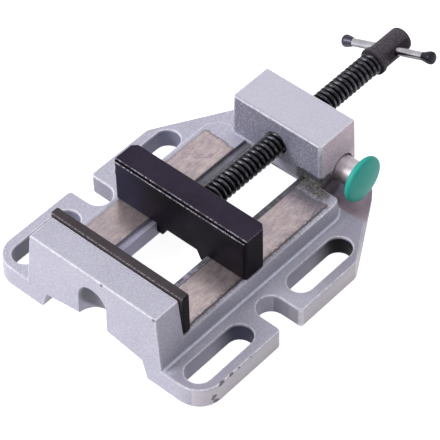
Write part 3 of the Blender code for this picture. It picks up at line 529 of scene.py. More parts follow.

# %% [markdown]
# ## The screw block's faces
# The block's front wall stands in the jaw's shade, which is painted in as darker, speckled paint
# where only the tops of the dimples catch light. The side round the plunger gets painted light, so
# it is pale and slightly rosy, and the top gets painted light, a touch lighter than the rest. Each
# face is found by its place, with a soft limit.

# %% Paint the screw block
block_wall = 1 - iron.ramp(abs(iron.y - BLOCK_FRONT), 0.5 * MM, 2.2 * MM)
block_wall = block_wall * iron.ramp(iron.z, WAY_TOP + 0.3 * MM, WAY_TOP + 2 * MM)
shaded_speckle = iron.mix(
    iron.ramp(hammer, 0.46, 0.78), linear(0.44, 0.44, 0.52), linear(0.62, 0.62, 0.7))
# painted shade on the front wall, speckled by the dimples
iron.cover(block_wall * 0.85, shaded_speckle)
block_side = iron.ramp(iron.x, BLOCK_SIDE - 1.2 * MM, BLOCK_SIDE - 0.5 * MM)
block_side = block_side * (iron.x < BLOCK_SIDE + 1 * MM)
block_side = block_side * (iron.y > BLOCK_FRONT + 1.5 * MM) * (iron.z > FLANGE_TOP)
lit_side_paint = iron.mix(
    iron.patchy(1.3 * MM, 0.42, 0.62, rough=0.7, shift=17),
    linear(0.95, 0.85, 0.91), linear(0.85, 0.74, 0.79))
# painted light on the side round the plunger, pale and slightly rosy
iron.cover(block_side * 0.9, lit_side_paint)
lit_block_top = iron.ramp(iron.z, CASTING_TOP - 0.8 * MM, CASTING_TOP - 0.3 * MM)
# painted light on the top
iron.cover(lit_block_top * 0.4, linear(0.84, 0.83, 0.88))
print("screw block from y", in_mm([BLOCK_FRONT]), "side at x", in_mm([BLOCK_SIDE]))

# %% [markdown]
# ## Edges of the paint
# Paint runs thin on outside edges, and they are painted paler, partly as wear and partly as painted
# highlight, most along the very crest and in a broken line. Inside corners get a faint painted
# highlight, and the hollow along the foot of the body gets a strong painted highlight as a pale
# line. The marks on the mesh say where these edges are.

# %% Wear and painted highlights on the edges
OUTSIDE_FOOT = 38 * MM
rubbed = iron.patchy(1.8 * MM, 0.38, 0.6, detail=4, rough=0.7)
inside = iron.ramp(-iron.stored(EDGE_MARK), 0.2, 0.9)
crest = iron.ramp(iron.stored(CREST_MARK), 0.35, 0.9)
# wear and painted highlight on the outside edges, most on the crests
iron.cover(iron.outside_edges() * (0.2 + rubbed * 0.3), linear(0.86, 0.85, 0.9))
iron.cover(crest * (0.3 + rubbed * 0.6), linear(0.96, 0.95, 0.99))
# faint painted highlight in the inside corners
iron.cover(inside * 0.2, linear(0.82, 0.82, 0.88))
lit_foot = inside * (side > OUTSIDE_FOOT) * (iron.z < FLANGE_TOP + 2.5 * MM)
# painted highlight along the foot of the body
iron.cover(lit_foot * (0.65 + rubbed * 0.35), linear(0.92, 0.93, 1.0))
print("the paint uses", len(iron.tree.nodes), "nodes")

# %% [markdown]
# ## The milled ways
# The jaw slides on two flat strips. The mill left them bare, warm grey and faintly streaked along
# their length, and polished enough to mirror the dark jaw. The border to the paint is ragged on the
# outside and straight along the slot. Behind, the cutter stopped short of the screw block and
# wandered, so the end is uneven.

# %% Where the ways are bare
WAY_OUTER = 37.8 * MM
WAY_INNER = 19.1 * MM
WAY_START = behind_jaw(-6)
WAY_END = behind_jaw(95.5)
ragged = (iron.noise(2.6 * MM, detail=4, rough=0.7) - 0.5) * (2.2 * MM)
wander = (iron.noise(9 * MM, detail=2, shift=3) - 0.5) * (6 * MM)
on_top = iron.band(iron.z, WAY_TOP, 0.6 * MM) * (iron.y > WAY_START)
from_outer = side + ragged
across_way = (from_outer < WAY_OUTER) * (side > WAY_INNER)
towards_end = iron.y + wander + ragged * 1.5
before_end = on_top * (towards_end < WAY_END)
bare_way = before_end * across_way
print("the ways are bare up to y", in_mm([WAY_END]), "and from x", in_mm([WAY_INNER, WAY_OUTER]))

# %% The colour of the bare ways
streaks = iron.noise(1.6 * MM, detail=4, rough=0.65, place=iron.stretched(1, 0.3, 1))
broad = iron.noise(6 * MM, shift=7)
mottle = iron.noise(0.9 * MM, rough=0.7, shift=23)
WAY_STOPS = [
    (0.34, linear(0.52, 0.48, 0.52)), (0.5, linear(0.67, 0.615, 0.63)),
    (0.66, linear(0.79, 0.73, 0.71))]
way_colour = iron.node(
    "ShaderNodeValToRGB", {"stops": WAY_STOPS}, {0: streaks * 0.4 + broad * 0.3 + mottle * 0.3})
tan = iron.patchy(8 * MM, 0.45, 0.7, shift=19)
way_colour = iron.mix(tan * 0.3, way_colour, linear(0.68, 0.62, 0.59))
iron.cover(bare_way, way_colour)
print("way colours:", len(WAY_STOPS))

# %% [markdown]
# ## Stains and a painted shadow on the ways
# Swarf and oil have stained the outer borders dark, most on the right, where chips fall, and a
# painted shadow lines the inner edge where the way steps down to the ledge. Where the cutter turned
# at the end of the left way it left a thin arc, which is the gap between two balls of slightly
# different size. The rear of the right way is scuffed and grey.

# %% Stains, a painted shadow, an arc and scuffs
TURN_CENTRE = (-33.5 * MM, behind_jaw(88), WAY_TOP)
border = before_end * iron.band(from_outer, WAY_OUTER, 1.4 * MM) * (0.3 + 0.7 * on_right)
step_shadow_line = before_end * iron.band(side, WAY_INNER, 0.7 * MM)
stop_line = on_top * iron.band(towards_end, WAY_END, 1 * MM) * across_way
swarf = iron.patchy(0.9 * MM, 0.46, 0.6, rough=0.75, shift=9)
swarf_strip = 1 - iron.ramp(abs(from_outer - WAY_OUTER), 0.3 * MM, 3.2 * MM)
swarf_strip = before_end * on_right * swarf_strip
specks = bare_way * iron.patchy(0.7 * MM, 0.7, 0.78, rough=0.8, shift=11)
# dark stains, and a painted shadow along the way's inner edge at the step
stains_and_shadow = iron.either(
    border * 0.85, step_shadow_line * 0.8, stop_line * 0.5, swarf_strip * swarf * 0.8, specks * 0.4)
iron.cover(stains_and_shadow, linear(0.24, 0.21, 0.23))
turn_mark = iron.near(TURN_CENTRE, 10.2 * MM, 0.03) - iron.near(TURN_CENTRE, 9.8 * MM, 0.03)
turn_mark = turn_mark * (iron.x > -30 * MM) * (iron.y < behind_jaw(91))
iron.cover(turn_mark * bare_way * 0.6, linear(0.36, 0.31, 0.33))
scuffed = bare_way * iron.ramp(iron.x, 0, 20 * MM)
scuffed = scuffed * iron.ramp(iron.y + wander, behind_jaw(82), behind_jaw(93))
iron.cover(scuffed * (0.3 + swarf * 0.5), linear(0.33, 0.31, 0.36))
print("the cutter turned at", in_mm(TURN_CENTRE))

# %% [markdown]
# ## The ledges and the oily corner
# Beside the slot a narrow ledge was left lower and in paint. In front its wall gets painted light,
# so it is pale, and behind the jaw the ledge collects dark dust. Oil and swarf gather along the
# foot of the block, so the corner beside the slot is nearly black, with lighter crumbs in it, and a
# bluish painted shadow runs up the foot of the block's wall. All of it is noise with different
# limits, laid one over the other.

# %% Ledges beside the slot
LEDGE_INNER = 15.2 * MM
LEDGE_OUTER = 19.3 * MM
rearward = iron.ramp(iron.y, behind_jaw(25), behind_jaw(45))
lit_ledge_wall = (side < LEDGE_OUTER) * (iron.z < WAY_TOP - 1 * MM) * (iron.z > 1 * MM)
lit_ledge_wall = lit_ledge_wall * (1 - rearward) * (iron.y > JAW_FACE)
# painted light on the ledge's wall in front
iron.cover(lit_ledge_wall * 0.55, linear(0.88, 0.86, 0.99))
ledge = iron.band(iron.z, WAY_TOP - 1.5 * MM, 1 * MM) * (side < LEDGE_OUTER)
ledge = ledge * (side > LEDGE_INNER) * (iron.y > WAY_START) * (iron.y < BLOCK_FRONT + 1 * MM)
dust = ledge * (0.5 + 0.5 * iron.noise(3 * MM, shift=2)) * (0.25 + 0.75 * rearward)
iron.cover(dust, linear(0.29, 0.285, 0.31))
soil = ledge * on_right * iron.patchy(2.2 * MM, 0.35, 0.65, detail=4, rough=0.7, shift=15)
iron.cover(soil * 0.8, linear(0.2, 0.19, 0.16))
print("ledges from x", in_mm([LEDGE_INNER, LEDGE_OUTER]))

# %% Oil, swarf and a painted shadow at the foot of the block
speckle = iron.noise(1.6 * MM, detail=4, rough=0.75, shift=5)
seep = iron.ramp(iron.x, 12 * MM, 18 * MM) * (1 - iron.ramp(iron.x, 33 * MM, 42 * MM))
seep = seep * iron.ramp(iron.y, behind_jaw(86), behind_jaw(96))
seep = seep * iron.band(iron.z, WAY_TOP, 8 * MM) * (iron.y < BLOCK_FRONT + 1 * MM)
iron.cover(seep * (0.35 + speckle * 0.6), linear(0.42, 0.405, 0.44))
corner = 1 - iron.ramp(abs(iron.y - (BLOCK_FRONT + 1 * MM)), 2 * MM, 13 * MM)
corner = corner * iron.ramp(iron.x, 9 * MM, 17 * MM) * (1 - iron.ramp(iron.x, 31 * MM, 40 * MM))
corner = corner * (1 - iron.ramp(abs(iron.z - WAY_TOP), 2 * MM, 6 * MM))
oil = iron.ramp(corner + (speckle - 0.5) * 1.9, 0.2, 0.75)
crumbs = iron.patchy(0.9 * MM, 0.4, 0.6, rough=0.75, shift=13)
oil_and_shadow_colour = iron.mix(crumbs, linear(0.1, 0.1, 0.1), linear(0.42, 0.41, 0.39))
on_wall = iron.ramp(iron.z, WAY_TOP + 1 * MM, WAY_TOP + 3 * MM)
# a bluish painted shadow up the foot of the block's wall
oil_and_shadow_colour = iron.mix(on_wall * 0.7, oil_and_shadow_colour, linear(0.13, 0.13, 0.16))
iron.cover(oil * 0.85, oil_and_shadow_colour)
print("with its dirt the casting uses", len(iron.tree.nodes), "nodes")

# %% [markdown]
# ## The round faced area
# The round area under the button was faced with one big cutter: it is bare and rosy grey, with
# fine rings about the button's axis, and it gets painted shade under the plunger. The rings are
# noise along the distance from the axis. A dark ring round the plunger is its sliding gap.

# %% Face the area under the button
FACED_RADIUS = 16.95 * MM
RINGS_PER_MM = 2.4
plunger_low, plunger_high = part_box("release_plunger")
plunger_radius = (plunger_high.z - plunger_low.z) / 2
away = iron.from_axis((0, 1, 1), (0, BUTTON_AXIS.y, BUTTON_AXIS.z))
beside_block = iron.x > BLOCK_SIDE - 0.1 * MM
faced = (away < FACED_RADIUS) * beside_block
rings = iron.node(
    "ShaderNodeTexNoise", {"noise_dimensions": "1D"},
    {"W": away / MM, "Scale": RINGS_PER_MM, "Detail": 2})
faced_colour = iron.mix(
    iron.ramp(rings * 0.5 + broad * 0.5, 0.3, 0.8),
    linear(0.68, 0.59, 0.65), linear(0.8, 0.72, 0.78))
iron.cover(faced * (iron.x > BLOCK_SIDE + 0.4 * MM), faced_colour)
under_plunger = (BLOCK_SIDE, BUTTON_AXIS.y - 8 * MM, FLANGE_TOP + 2 * MM)
plunger_shade = iron.ramp(iron.near(under_plunger, 13 * MM, 0.9) + (speckle - 0.5) * 0.6, 0.1, 0.8)
gap_ring = (away < plunger_radius + 0.7 * MM) * beside_block
# painted shade under the plunger, and the dark sliding gap round it
iron.cover(iron.either(plunger_shade * faced * 0.8, gap_ring * 0.8), linear(0.22, 0.18, 0.21))
print("faced round", in_mm(BUTTON_AXIS.yz), "plunger radius", in_mm([plunger_radius], 2))

# %% [markdown]
# ## Chips and the casting's small marks
# The paint has come off in a few spots on the front corner of the flange and along the top edge of
# the fixed block, and dark iron shows. On the screw block's top there is a faint round mark from
# the mould. A chip is a small ball of influence at its place, and noise breaks up its outline.

# %% Chips
CHIPS = [
    (65.2, -7.4, 11, 1.0), (65.2, -8.5, 10.8, 1.4), (65.2, -9.7, 10.5, 1.0), (65.2, -1.4, 11, 0.9),
    (65.2, -2.5, 10.9, 1.2), (64.6, -12.7, 5.5, 1.6), (64.3, -13.6, 4.2, 1.1),
    (64.9, -12.3, 2.2, 1.7), (65.1, -11.0, 1.6, 1.1), (65.2, 3.1, 11, 0.7), (65.2, 11, 11, 0.6),
    (-8.1, -21.4, 42.4, 1.6), (5.9, -21.4, 42.2, 2.0), (37.0, -21.0, 42.2, 1.5),
    (12.5, -21.2, 42.4, 1.0)]
CHIP_REACH = 1.35 * MM
spots = [iron.near((x * MM, behind_jaw(y), z * MM), radius * CHIP_REACH, 0.9)
         for x, y, z, radius in CHIPS]
flakes = iron.noise(1.1 * MM, detail=4, rough=0.75, shift=21)
chipped = iron.ramp(iron.either(*spots) + (flakes - 0.5) * 1.8, 0.45, 0.58)
iron.cover(chipped * 0.85, linear(0.28, 0.26, 0.28))
print("chips:", len(CHIPS))

# %% The mould's mark and the ground underside
MOULD_MARK = (16.5 * MM, behind_jaw(113.6), CASTING_TOP)
ring = iron.near(MOULD_MARK, 4.4 * MM, 0.12) - iron.near(MOULD_MARK, 3.9 * MM, 0.15)
ring = ring * iron.ramp(-iron.y, -MOULD_MARK[1] - 2 * MM, -MOULD_MARK[1] + 2 * MM)
iron.cover(ring * 0.22, linear(0.86, 0.85, 0.9))
foot_face = 1 - iron.ramp(iron.z, 0.1 * MM, 0.3 * MM)
foot_colour = iron.mix(
    iron.ramp(streaks, 0.35, 0.7), linear(0.52, 0.5, 0.5), linear(0.66, 0.64, 0.64))
iron.cover(foot_face, foot_colour)
print("mould mark at", in_mm(MOULD_MARK))

# %% [markdown]
# ## Gloss and relief of the casting
# Bare iron is shinier than paint, and oily dirt is dull. The dimples of the paint are pushed out by
# a Bump node, which is enough for a relief of under a tenth of a millimetre. The milled faces have
# only their streaks, and a chip lies a little lower than the paint round it.

# %% Finish the casting
bare = iron.either(bare_way, faced, foot_face)
relief = (1 - bare) * (1 - hammer) + bare * streaks * 0.2 + ring * 0.25 - chipped * 0.7
# a high metallic share at the right slots' rear ends deepens their painted shade
metal = 0.1 + bare_way * 0.5 + faced * 0.15 + foot_face * 0.5 - oil * 0.1 + shaded_slot_ends * 0.8
iron.link(
    Base_Color=iron.colour,
    Metallic=metal,
    Roughness=0.46 - bare_way * 0.2 + grain * 0.1 + oil * 0.3,
    Normal=iron.bump(relief, 0.07 * MM, 0.8))
skin("base_casting", "vise_base", iron)

# %% [markdown]
# ## Blackened steel
# The sliding jaw is blackened steel, satin and slightly purple in the light. The fixed jaw's plate
# is hardened and browner, and the screw's head is matt. On all of them handling has rubbed the
# blacking off the outside edges in a thin broken line. One recipe with different colours serves
# them, and it keeps its colour open, so that each piece can still be darkened or worn by place.

# %% The recipe
def blackened(name, deep, pale, edge, rough):
    """Steel with a dark oxide skin that is rubbed through at its edges."""
    finish = Finish(name, Specular_IOR_Level=0.04)
    fine = finish.noise(0.6 * MM, rough=0.6)
    wide = finish.noise(11 * MM)
    finish.rubbed = finish.patchy(0.9 * MM, 0.42, 0.6, rough=0.7)
    worn = finish.ramp(finish.stored(CREST_MARK), 0.5, 0.95) * (0.2 + 0.6 * finish.rubbed)
    finish.colour = finish.mix(finish.ramp(fine * 0.6 + wide * 0.5, 0.3, 0.8), deep, pale)
    finish.cover(worn, edge)
    finish.link(
        Metallic=worn * 0.6,
        Roughness=rough + fine * 0.12 - worn * 0.1,
        Normal=finish.bump(fine, 0.02 * MM, 0.7))
    return finish


print("the recipe takes a deep, a pale and an edge colour")

# %% [markdown]
# ## The sliding jaw
# The jaw's sides get painted shade, so they are much darker than its top. Along the front edge of
# the top runs a small step, and both edges of the step get a painted highlight as dotted lines. On
# the work face, a bluish painted sheen is laid towards one end. The keeper under the ways has the
# same finish.

# %% The jaw's finish
STEP = 1.3 * MM
jaw_low, jaw_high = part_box("movable_jaw")
jaw_black = blackened(
    "blackened_jaw", linear(0.17, 0.145, 0.2), linear(0.22, 0.19, 0.25),
    linear(0.5, 0.48, 0.53), 0.42)
cloudy = jaw_black.patchy(12 * MM, 0.45, 0.65, shift=6)
work_face = 1 - jaw_black.ramp(jaw_black.y, jaw_low.y + 0.3 * MM, jaw_low.y + 0.9 * MM)
# a bluish painted sheen on the work face, towards one end
painted_sheen = work_face * jaw_black.ramp(-jaw_black.x, 12 * MM, 34 * MM) * 0.8
shaded_side = jaw_black.mix(cloudy * 0.4, linear(0.04, 0.03, 0.055), linear(0.14, 0.115, 0.17))
shaded_side = jaw_black.mix(painted_sheen, shaded_side, linear(0.19, 0.18, 0.26))
below_top = 1 - jaw_black.ramp(jaw_black.z, jaw_high.z - STEP, jaw_high.z - 0.5 * MM)
# painted shade on the sides
jaw_black.cover(below_top * 0.92, shaded_side)
step_top = jaw_black.band(jaw_black.y - jaw_low.y, STEP, 0.5 * MM)
step_top = step_top * (jaw_black.z > jaw_high.z - 0.5 * MM)
step_low = jaw_black.band(jaw_black.z - jaw_high.z, -STEP, 0.55 * MM)
step_low = step_low * (jaw_black.y < jaw_low.y + 0.4 * MM)
dashes = jaw_black.patchy(1.2 * MM, 0.45, 0.58, rough=0.75, shift=4)
step_highlight = jaw_black.either(step_top * 0.8, step_low) * (0.15 + 0.85 * dashes)
# painted highlight along both edges of the step
jaw_black.cover(step_highlight * 0.85, linear(0.84, 0.82, 0.86))
jaw_black.link(Base_Color=jaw_black.colour)
skin("movable_jaw", "sliding_jaw", jaw_black)
skin("keeper_plate", "jaw_keeper", jaw_black)

# %% [markdown]
# ## The fixed plate
# The plate is screwed to the fixed block. Its chamfers are ground, so they are a little paler than
# its faces, its ends are the darkest part, and along the top its two long edges get a painted
# highlight in a broken line, the front one more than the one over the ways.

# %% The plate's finish
plate_low, plate_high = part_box("fixed_jaw_plate")
plate_brown = blackened(
    "hardened_plate", linear(0.24, 0.22, 0.235), linear(0.32, 0.295, 0.31),
    linear(0.66, 0.64, 0.65), 0.45)
ground = plate_brown.outside_edges() * plate_brown.ramp(plate_brown.z, 42 * MM, 43 * MM)
plate_brown.cover(ground * (0.35 + 0.5 * plate_brown.rubbed), linear(0.6, 0.58, 0.58))
plate_end = plate_brown.ramp(abs(plate_brown.x), 39.2 * MM, 39.8 * MM)
plate_brown.cover(plate_end * 0.8, linear(0.06, 0.05, 0.07))
front_highlight = plate_brown.band(plate_brown.y, plate_low.y + 0.3 * MM, 0.45 * MM)
rear_highlight = plate_brown.band(plate_brown.y, plate_high.y - 0.3 * MM, 0.45 * MM) * 0.6
edge_highlight = plate_brown.either(front_highlight, rear_highlight) * (plate_brown.z > plate_high.z - 0.6 * MM)
edge_highlight = edge_highlight * (0.1 + 0.9 * plate_brown.rubbed)
# painted highlight along the two long top edges
plate_brown.cover(edge_highlight * 0.5, linear(0.72, 0.7, 0.74))
plate_brown.link(Base_Color=plate_brown.colour)
skin("fixed_jaw_plate", "fixed_plate", plate_brown)

# %% [markdown]
# ## The screw's head
# The head is matt black all round. Less light reaches its underside than a pale floor would throw
# up at it, so it is darkened towards the bottom.

# %% The head's finish
head_dark = blackened(
    "matt_black_head", linear(0.2, 0.18, 0.205), linear(0.28, 0.255, 0.285),
    linear(0.36, 0.34, 0.37), 0.55)
underside = 1 - head_dark.ramp(head_dark.z, SCREW_AXIS.z - 5 * MM, SCREW_AXIS.z + 3 * MM)
head_dark.cover(underside * 0.8, linear(0.09, 0.08, 0.1))
head_dark.link(Base_Color=head_dark.colour)
skin("spindle_head", "screw_head", head_dark)

# %% [markdown]
# ## Bare turned steel
# The plunger, the pins, the countersunk screws and the spring are plain steel. A lathe leaves fine
# rings across the axis of a turned piece, so the noise is stretched thin along that axis. The
# spring stands between its bore's bottom and the plunger.

# %% Turned steel
RING_STRETCH = 0.12


def turned_steel(name, axis, deep, pale, rough):
    """Bare steel with fine lathe rings across an axis."""
    finish = Finish(name, Metallic=1.0)
    thin = [RING_STRETCH] * 3
    thin[axis] = 1
    lathe_rings = finish.noise(0.5 * MM, detail=2, rough=0.6, place=finish.stretched(*thin))
    cloud = finish.noise(6 * MM)
    finish.colour = finish.mix(finish.ramp(lathe_rings * 0.5 + cloud * 0.6, 0.3, 0.8), deep, pale)
    finish.link(
        Base_Color=finish.colour,
        Roughness=rough + cloud * 0.15,
        Normal=finish.bump(lathe_rings, 0.012 * MM, 0.6))
    return finish


plunger_steel = turned_steel(
    "turned_plunger", 0, linear(0.68, 0.65, 0.67), linear(0.84, 0.81, 0.83), 0.42)
screw_steel = turned_steel(
    "small_screws", 1, linear(0.42, 0.41, 0.42), linear(0.62, 0.61, 0.62), 0.3)
pin_steel = turned_steel("small_pins", 2, linear(0.5, 0.49, 0.5), linear(0.68, 0.67, 0.68), 0.3)
skin("release_plunger", "plunger", plunger_steel)
spring = skin("release_spring", "plunger_spring", plunger_steel, 60)
for word in ("left", "right"):
    skin(f"fixed_plate_screw_{word}", f"plate_screw_{word}", screw_steel)
    skin(f"keeper_screw_{word}", f"jaw_keeper_screw_{word}", pin_steel)
    skin(f"spindle_retaining_pin_{word}", f"jaw_pin_{word}", pin_steel)
skin("head_pin", "head_cross_pin", pin_steel)

# %% Measure the spring and give it its own mesh
JOINTS = {joint["name"]: joint for joint in frame["joints"]}
press = JOINTS["release_press"]
spring_end = press["deforming_nodes"][0]["fixed_end_x_m"]
spring_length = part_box("release_spring")[1].x - spring_end
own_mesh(spring)
print("the spring is", in_mm([spring_length]), "long and gives way", in_mm([press["range_m"][1]]))

# %% [markdown]
# ## Drawing and turning
# A turned piece is a line spun round its axis. By hand, one would start from a single point and
# extrude it along the outline, so that is done here too: a small plane is merged to one point,
# which is extruded from point to point. `turn` spins the line, and `lay_along` puts the piece on
# its axis and applies the turn, so that the finished object sits at the origin.

# %% Draw, spin and place
WELD = 0.002 * MM


def draw_line(name, points):
    """A chain of edges through (radius, height) points in the XZ plane, left in edit mode."""
    bpy.ops.object.select_all(action="DESELECT")
    bpy.ops.mesh.primitive_plane_add(size=MM, location=(0, 0, 0))
    piece = bpy.context.object
    piece.name = name
    piece.data.name = name
    bpy.ops.object.mode_set(mode="EDIT")
    bpy.ops.mesh.merge(type="CENTER")
    bpy.ops.transform.translate(value=(points[0][0], 0, points[0][1]))
    for (old_radius, old_height), (radius, height) in zip(points, points[1:]):
        step = (radius - old_radius, 0, height - old_height)
        bpy.ops.mesh.extrude_vertices_move(TRANSFORM_OT_translate={"value": step})
    return piece


def weld():
    """Merge doubles and turn every face outwards, in edit mode."""
    bpy.ops.mesh.select_all(action="SELECT")
    bpy.ops.mesh.remove_doubles(threshold=WELD)
    bpy.ops.mesh.normals_make_consistent(inside=False)


def turn(name, points, steps):
    """Spin an outline once round the Z axis into a closed piece."""
    piece = draw_line(name, points)
    bpy.ops.mesh.select_all(action="SELECT")
    bpy.ops.mesh.spin(steps=steps, angle=math.tau, center=(0, 0, 0), axis=(0, 0, 1))
    weld()
    bpy.ops.object.mode_set(mode="OBJECT")
    print(name, "faces", len(piece.data.polygons))
    return piece


def lay_along(piece, direction, place):
    """Point a piece's Z axis along a direction from a place, and keep that in its mesh."""
    turned = Vector(direction).to_track_quat("Z", "Y").to_matrix().to_4x4()
    piece.matrix_world = Matrix.Translation(place) @ turned
    select_only(piece)
    bpy.ops.object.transform_apply(location=True, rotation=True, scale=True)


print("points closer than", WELD / MM, "mm are merged")

# %% [markdown]
# ## The screw thread
# The screw is 12 mm thick with a right-hand thread of 3 mm pitch, and its turns are rounded, so
# that each one carries a soft highlight. A Screw modifier sweeps the outline of one turn: the
# outline is exactly one pitch high, and rises by one pitch for each full turn, so the turns join.
# It is cut square at both ends, and the plain journal and the spigot are turned on.

# %% Sweep the thread
SCREW_RADIUS = 6 * MM
ROOT_RADIUS = 4.6 * MM
PITCH = 3 * MM
OUTLINE_POINTS = 14
SPARE_TURNS = 1.5
SCREW_FRONT = behind_jaw(55.3)
SCREW_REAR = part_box("spindle_head")[0].y - 0.15 * MM
THREAD_LENGTH = SCREW_REAR - SCREW_FRONT


def thread_outline():
    """One turn of the thread from root to root, with a wide round crest."""
    shares = [n / OUTLINE_POINTS for n in range(OUTLINE_POINTS + 1)]
    height = SCREW_RADIUS - ROOT_RADIUS
    return [(ROOT_RADIUS + height * math.sin(math.pi * share), share * PITCH) for share in shares]


thread = draw_line("screw_thread", thread_outline())
bpy.ops.object.mode_set(mode="OBJECT")
sweep = thread.modifiers.new("turns", "SCREW")
sweep.axis = "Z"
sweep.angle = math.tau
sweep.screw_offset = PITCH
sweep.iterations = math.ceil(THREAD_LENGTH / PITCH) + 2
sweep.steps = sweep.render_steps = 48
sweep.use_merge_vertices = True
sweep.merge_threshold = WELD
bpy.ops.object.modifier_apply(modifier=sweep.name)
print("thread faces:", len(thread.data.polygons), "turns:", round(THREAD_LENGTH / PITCH, 1))

# %% Cut the thread to length
def saw_off(height, keep_above):
    """Cut across the Z axis in edit mode and close the cut."""
    bpy.ops.mesh.select_all(action="SELECT")
    bpy.ops.mesh.bisect(
        plane_co=(0, 0, height), plane_no=(0, 0, 1), use_fill=True,
        clear_inner=keep_above, clear_outer=not keep_above)


first_cut = PITCH * SPARE_TURNS
select_only(thread)
bpy.ops.object.mode_set(mode="EDIT")
weld()
saw_off(first_cut, True)
saw_off(first_cut + THREAD_LENGTH, False)
weld()
bpy.ops.object.mode_set(mode="OBJECT")
lay_along(thread, (0, 1, 0), (0, SCREW_FRONT - first_cut, SCREW_AXIS.z))
print("thread faces after the cuts:", len(thread.data.polygons))

# %% Turn the journal and the spigot
JOURNAL_RADIUS = 4 * MM
GROOVE_RADIUS = 2.7 * MM
GROOVE = (4.1 * MM, 7.3 * MM)
SPIGOT_RADIUS = 3.8 * MM
ROUND_STEPS = 64
spindle_low, spindle_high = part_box("spindle")
journal_length = SCREW_FRONT - spindle_low.y + 1 * MM
journal = turn("screw_journal", [
    (0, 0), (JOURNAL_RADIUS - 0.5 * MM, 0), (JOURNAL_RADIUS, 0.5 * MM),
    (JOURNAL_RADIUS, GROOVE[0]), (GROOVE_RADIUS, GROOVE[0]),
    (GROOVE_RADIUS, GROOVE[1]), (JOURNAL_RADIUS, GROOVE[1]),
    (JOURNAL_RADIUS, journal_length), (0, journal_length)], ROUND_STEPS)
lay_along(journal, (0, 1, 0), (0, spindle_low.y, SCREW_AXIS.z))
spigot_length = spindle_high.y - SCREW_REAR + 1 * MM
spigot = turn("screw_spigot", [
    (0, 0), (SPIGOT_RADIUS, 0), (SPIGOT_RADIUS, spigot_length - 0.5 * MM),
    (SPIGOT_RADIUS - 0.5 * MM, spigot_length), (0, spigot_length)], ROUND_STEPS)
lay_along(spigot, (0, 1, 0), (0, SCREW_REAR - 1 * MM, SCREW_AXIS.z))
select_only(thread)
journal.select_set(True)
spigot.select_set(True)
bpy.ops.object.join()

# %% The screw's black oxide
screw_black = Finish("oiled_black_oxide", Specular_IOR_Level=0.08)
crown = screw_black.from_axis((1, 0, 1), (0, 0, SCREW_AXIS.z))
crown = screw_black.ramp(crown, 5 * MM, 5.9 * MM)
oily = screw_black.patchy(2.5 * MM, 0.35, 0.65)
polish = crown * (0.35 + oily * 0.65)
screw_black.link(
    Base_Color=screw_black.mix(polish, linear(0.02, 0.02, 0.03), linear(0.31, 0.31, 0.34)),
    Metallic=polish,
    Roughness=0.17 + oily * 0.12,
    Normal=screw_black.bump(screw_black.noise(0.5 * MM, detail=2), 0.01 * MM, 0.5))
smooth(thread, 50)
take_place(thread, "spindle", screw_black)
print("screw faces:", len(thread.data.polygons))

# %% [markdown]
# ## The sliding bar and its ends
# The bar is bright-plated and slides in the head. Each end is a knob that flares from the bar to a
# domed face, and its plating is darker. The bar is polished enough to mirror a dark room from
# below, so its lower half is darkened across its own tilted axis.

# %% Plate the bar
BAR_DIRECTION = Vector(JOINTS["bar_slide"]["axis"])
BAR_UP = BAR_DIRECTION.cross((0, 1, 0))
bar_middle = sum(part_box("tommy_bar"), Vector()) / 2
chrome = turned_steel(
    "bright_plating", 0, linear(0.6, 0.59, 0.62), linear(0.75, 0.74, 0.77), 0.14)
from_middle = chrome.node(
    "ShaderNodeVectorMath", {"operation": "SUBTRACT"}, {0: chrome.place, 1: bar_middle})
height = chrome.node(
    "ShaderNodeVectorMath", {"operation": "DOT_PRODUCT"}, {0: from_middle, 1: BAR_UP}, 1)
chrome.cover((1 - chrome.ramp(height, -1.3 * MM, 1.3 * MM)) * 0.95, linear(0.14, 0.13, 0.16))
chrome.link(Base_Color=chrome.colour)
skin("tommy_bar", "sliding_bar", chrome, 40)

dark_chrome = turned_steel(
    "dark_plating", 0, linear(0.2, 0.2, 0.24), linear(0.32, 0.32, 0.37), 0.3)
# painted shade on the right knob
dark_chrome.cover(dark_chrome.ramp(dark_chrome.x, 0, 10 * MM) * 0.7, linear(0.1, 0.1, 0.12))
dark_chrome.link(Base_Color=dark_chrome.colour)
for word in ("left", "right"):
    skin(f"bar_end_{word}", f"bar_knob_{word}", dark_chrome, 40)
print("the bar lies along", [round(c, 2) for c in BAR_DIRECTION])

# %% [markdown]
# ## The release button
# The cap is moulded in teal plastic: a gently domed face with a rounded rim, smooth enough to give
# a soft sheen. It is turned finer than the CAD piece, because its outline stands free in view. The
# mould left the face very slightly uneven, which shows as a faint change of tone.

# %% Turn the cap
CAP_RADIUS = 12 * MM
CAP_RIM = 1.9 * MM
CAP_SOCKET = 4.15 * MM
CAP_SOCKET_DEPTH = 3 * MM
RIM_START = -70
RIM_SWEEP = 125
RIM_STEPS = 12
DOME_STEPS = 10
CAP_STEPS = 96
cap_low, cap_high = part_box("button_cap")
cap_thickness = cap_high.x - cap_low.x
rim_angles = [math.radians(RIM_START + RIM_SWEEP * n / RIM_STEPS) for n in range(RIM_STEPS + 1)]
rim = [(CAP_RADIUS - CAP_RIM + CAP_RIM * math.cos(a), CAP_RIM + CAP_RIM * math.sin(a))
       for a in rim_angles]
rim_radius, rim_height = rim[-1]
dome_shares = [n / DOME_STEPS for n in range(DOME_STEPS)]
dome = [(rim_radius * share, cap_thickness - (cap_thickness - rim_height) * share ** 2)
        for share in dome_shares]
cap = turn("release_button", [
    (0, CAP_SOCKET_DEPTH), (CAP_SOCKET, CAP_SOCKET_DEPTH), (CAP_SOCKET, 0),
    (CAP_RADIUS - CAP_RIM - 0.4 * MM, 0), *rim, *reversed(dome)], CAP_STEPS)
lay_along(cap, (1, 0, 0), (cap_low.x, BUTTON_AXIS.y, BUTTON_AXIS.z))

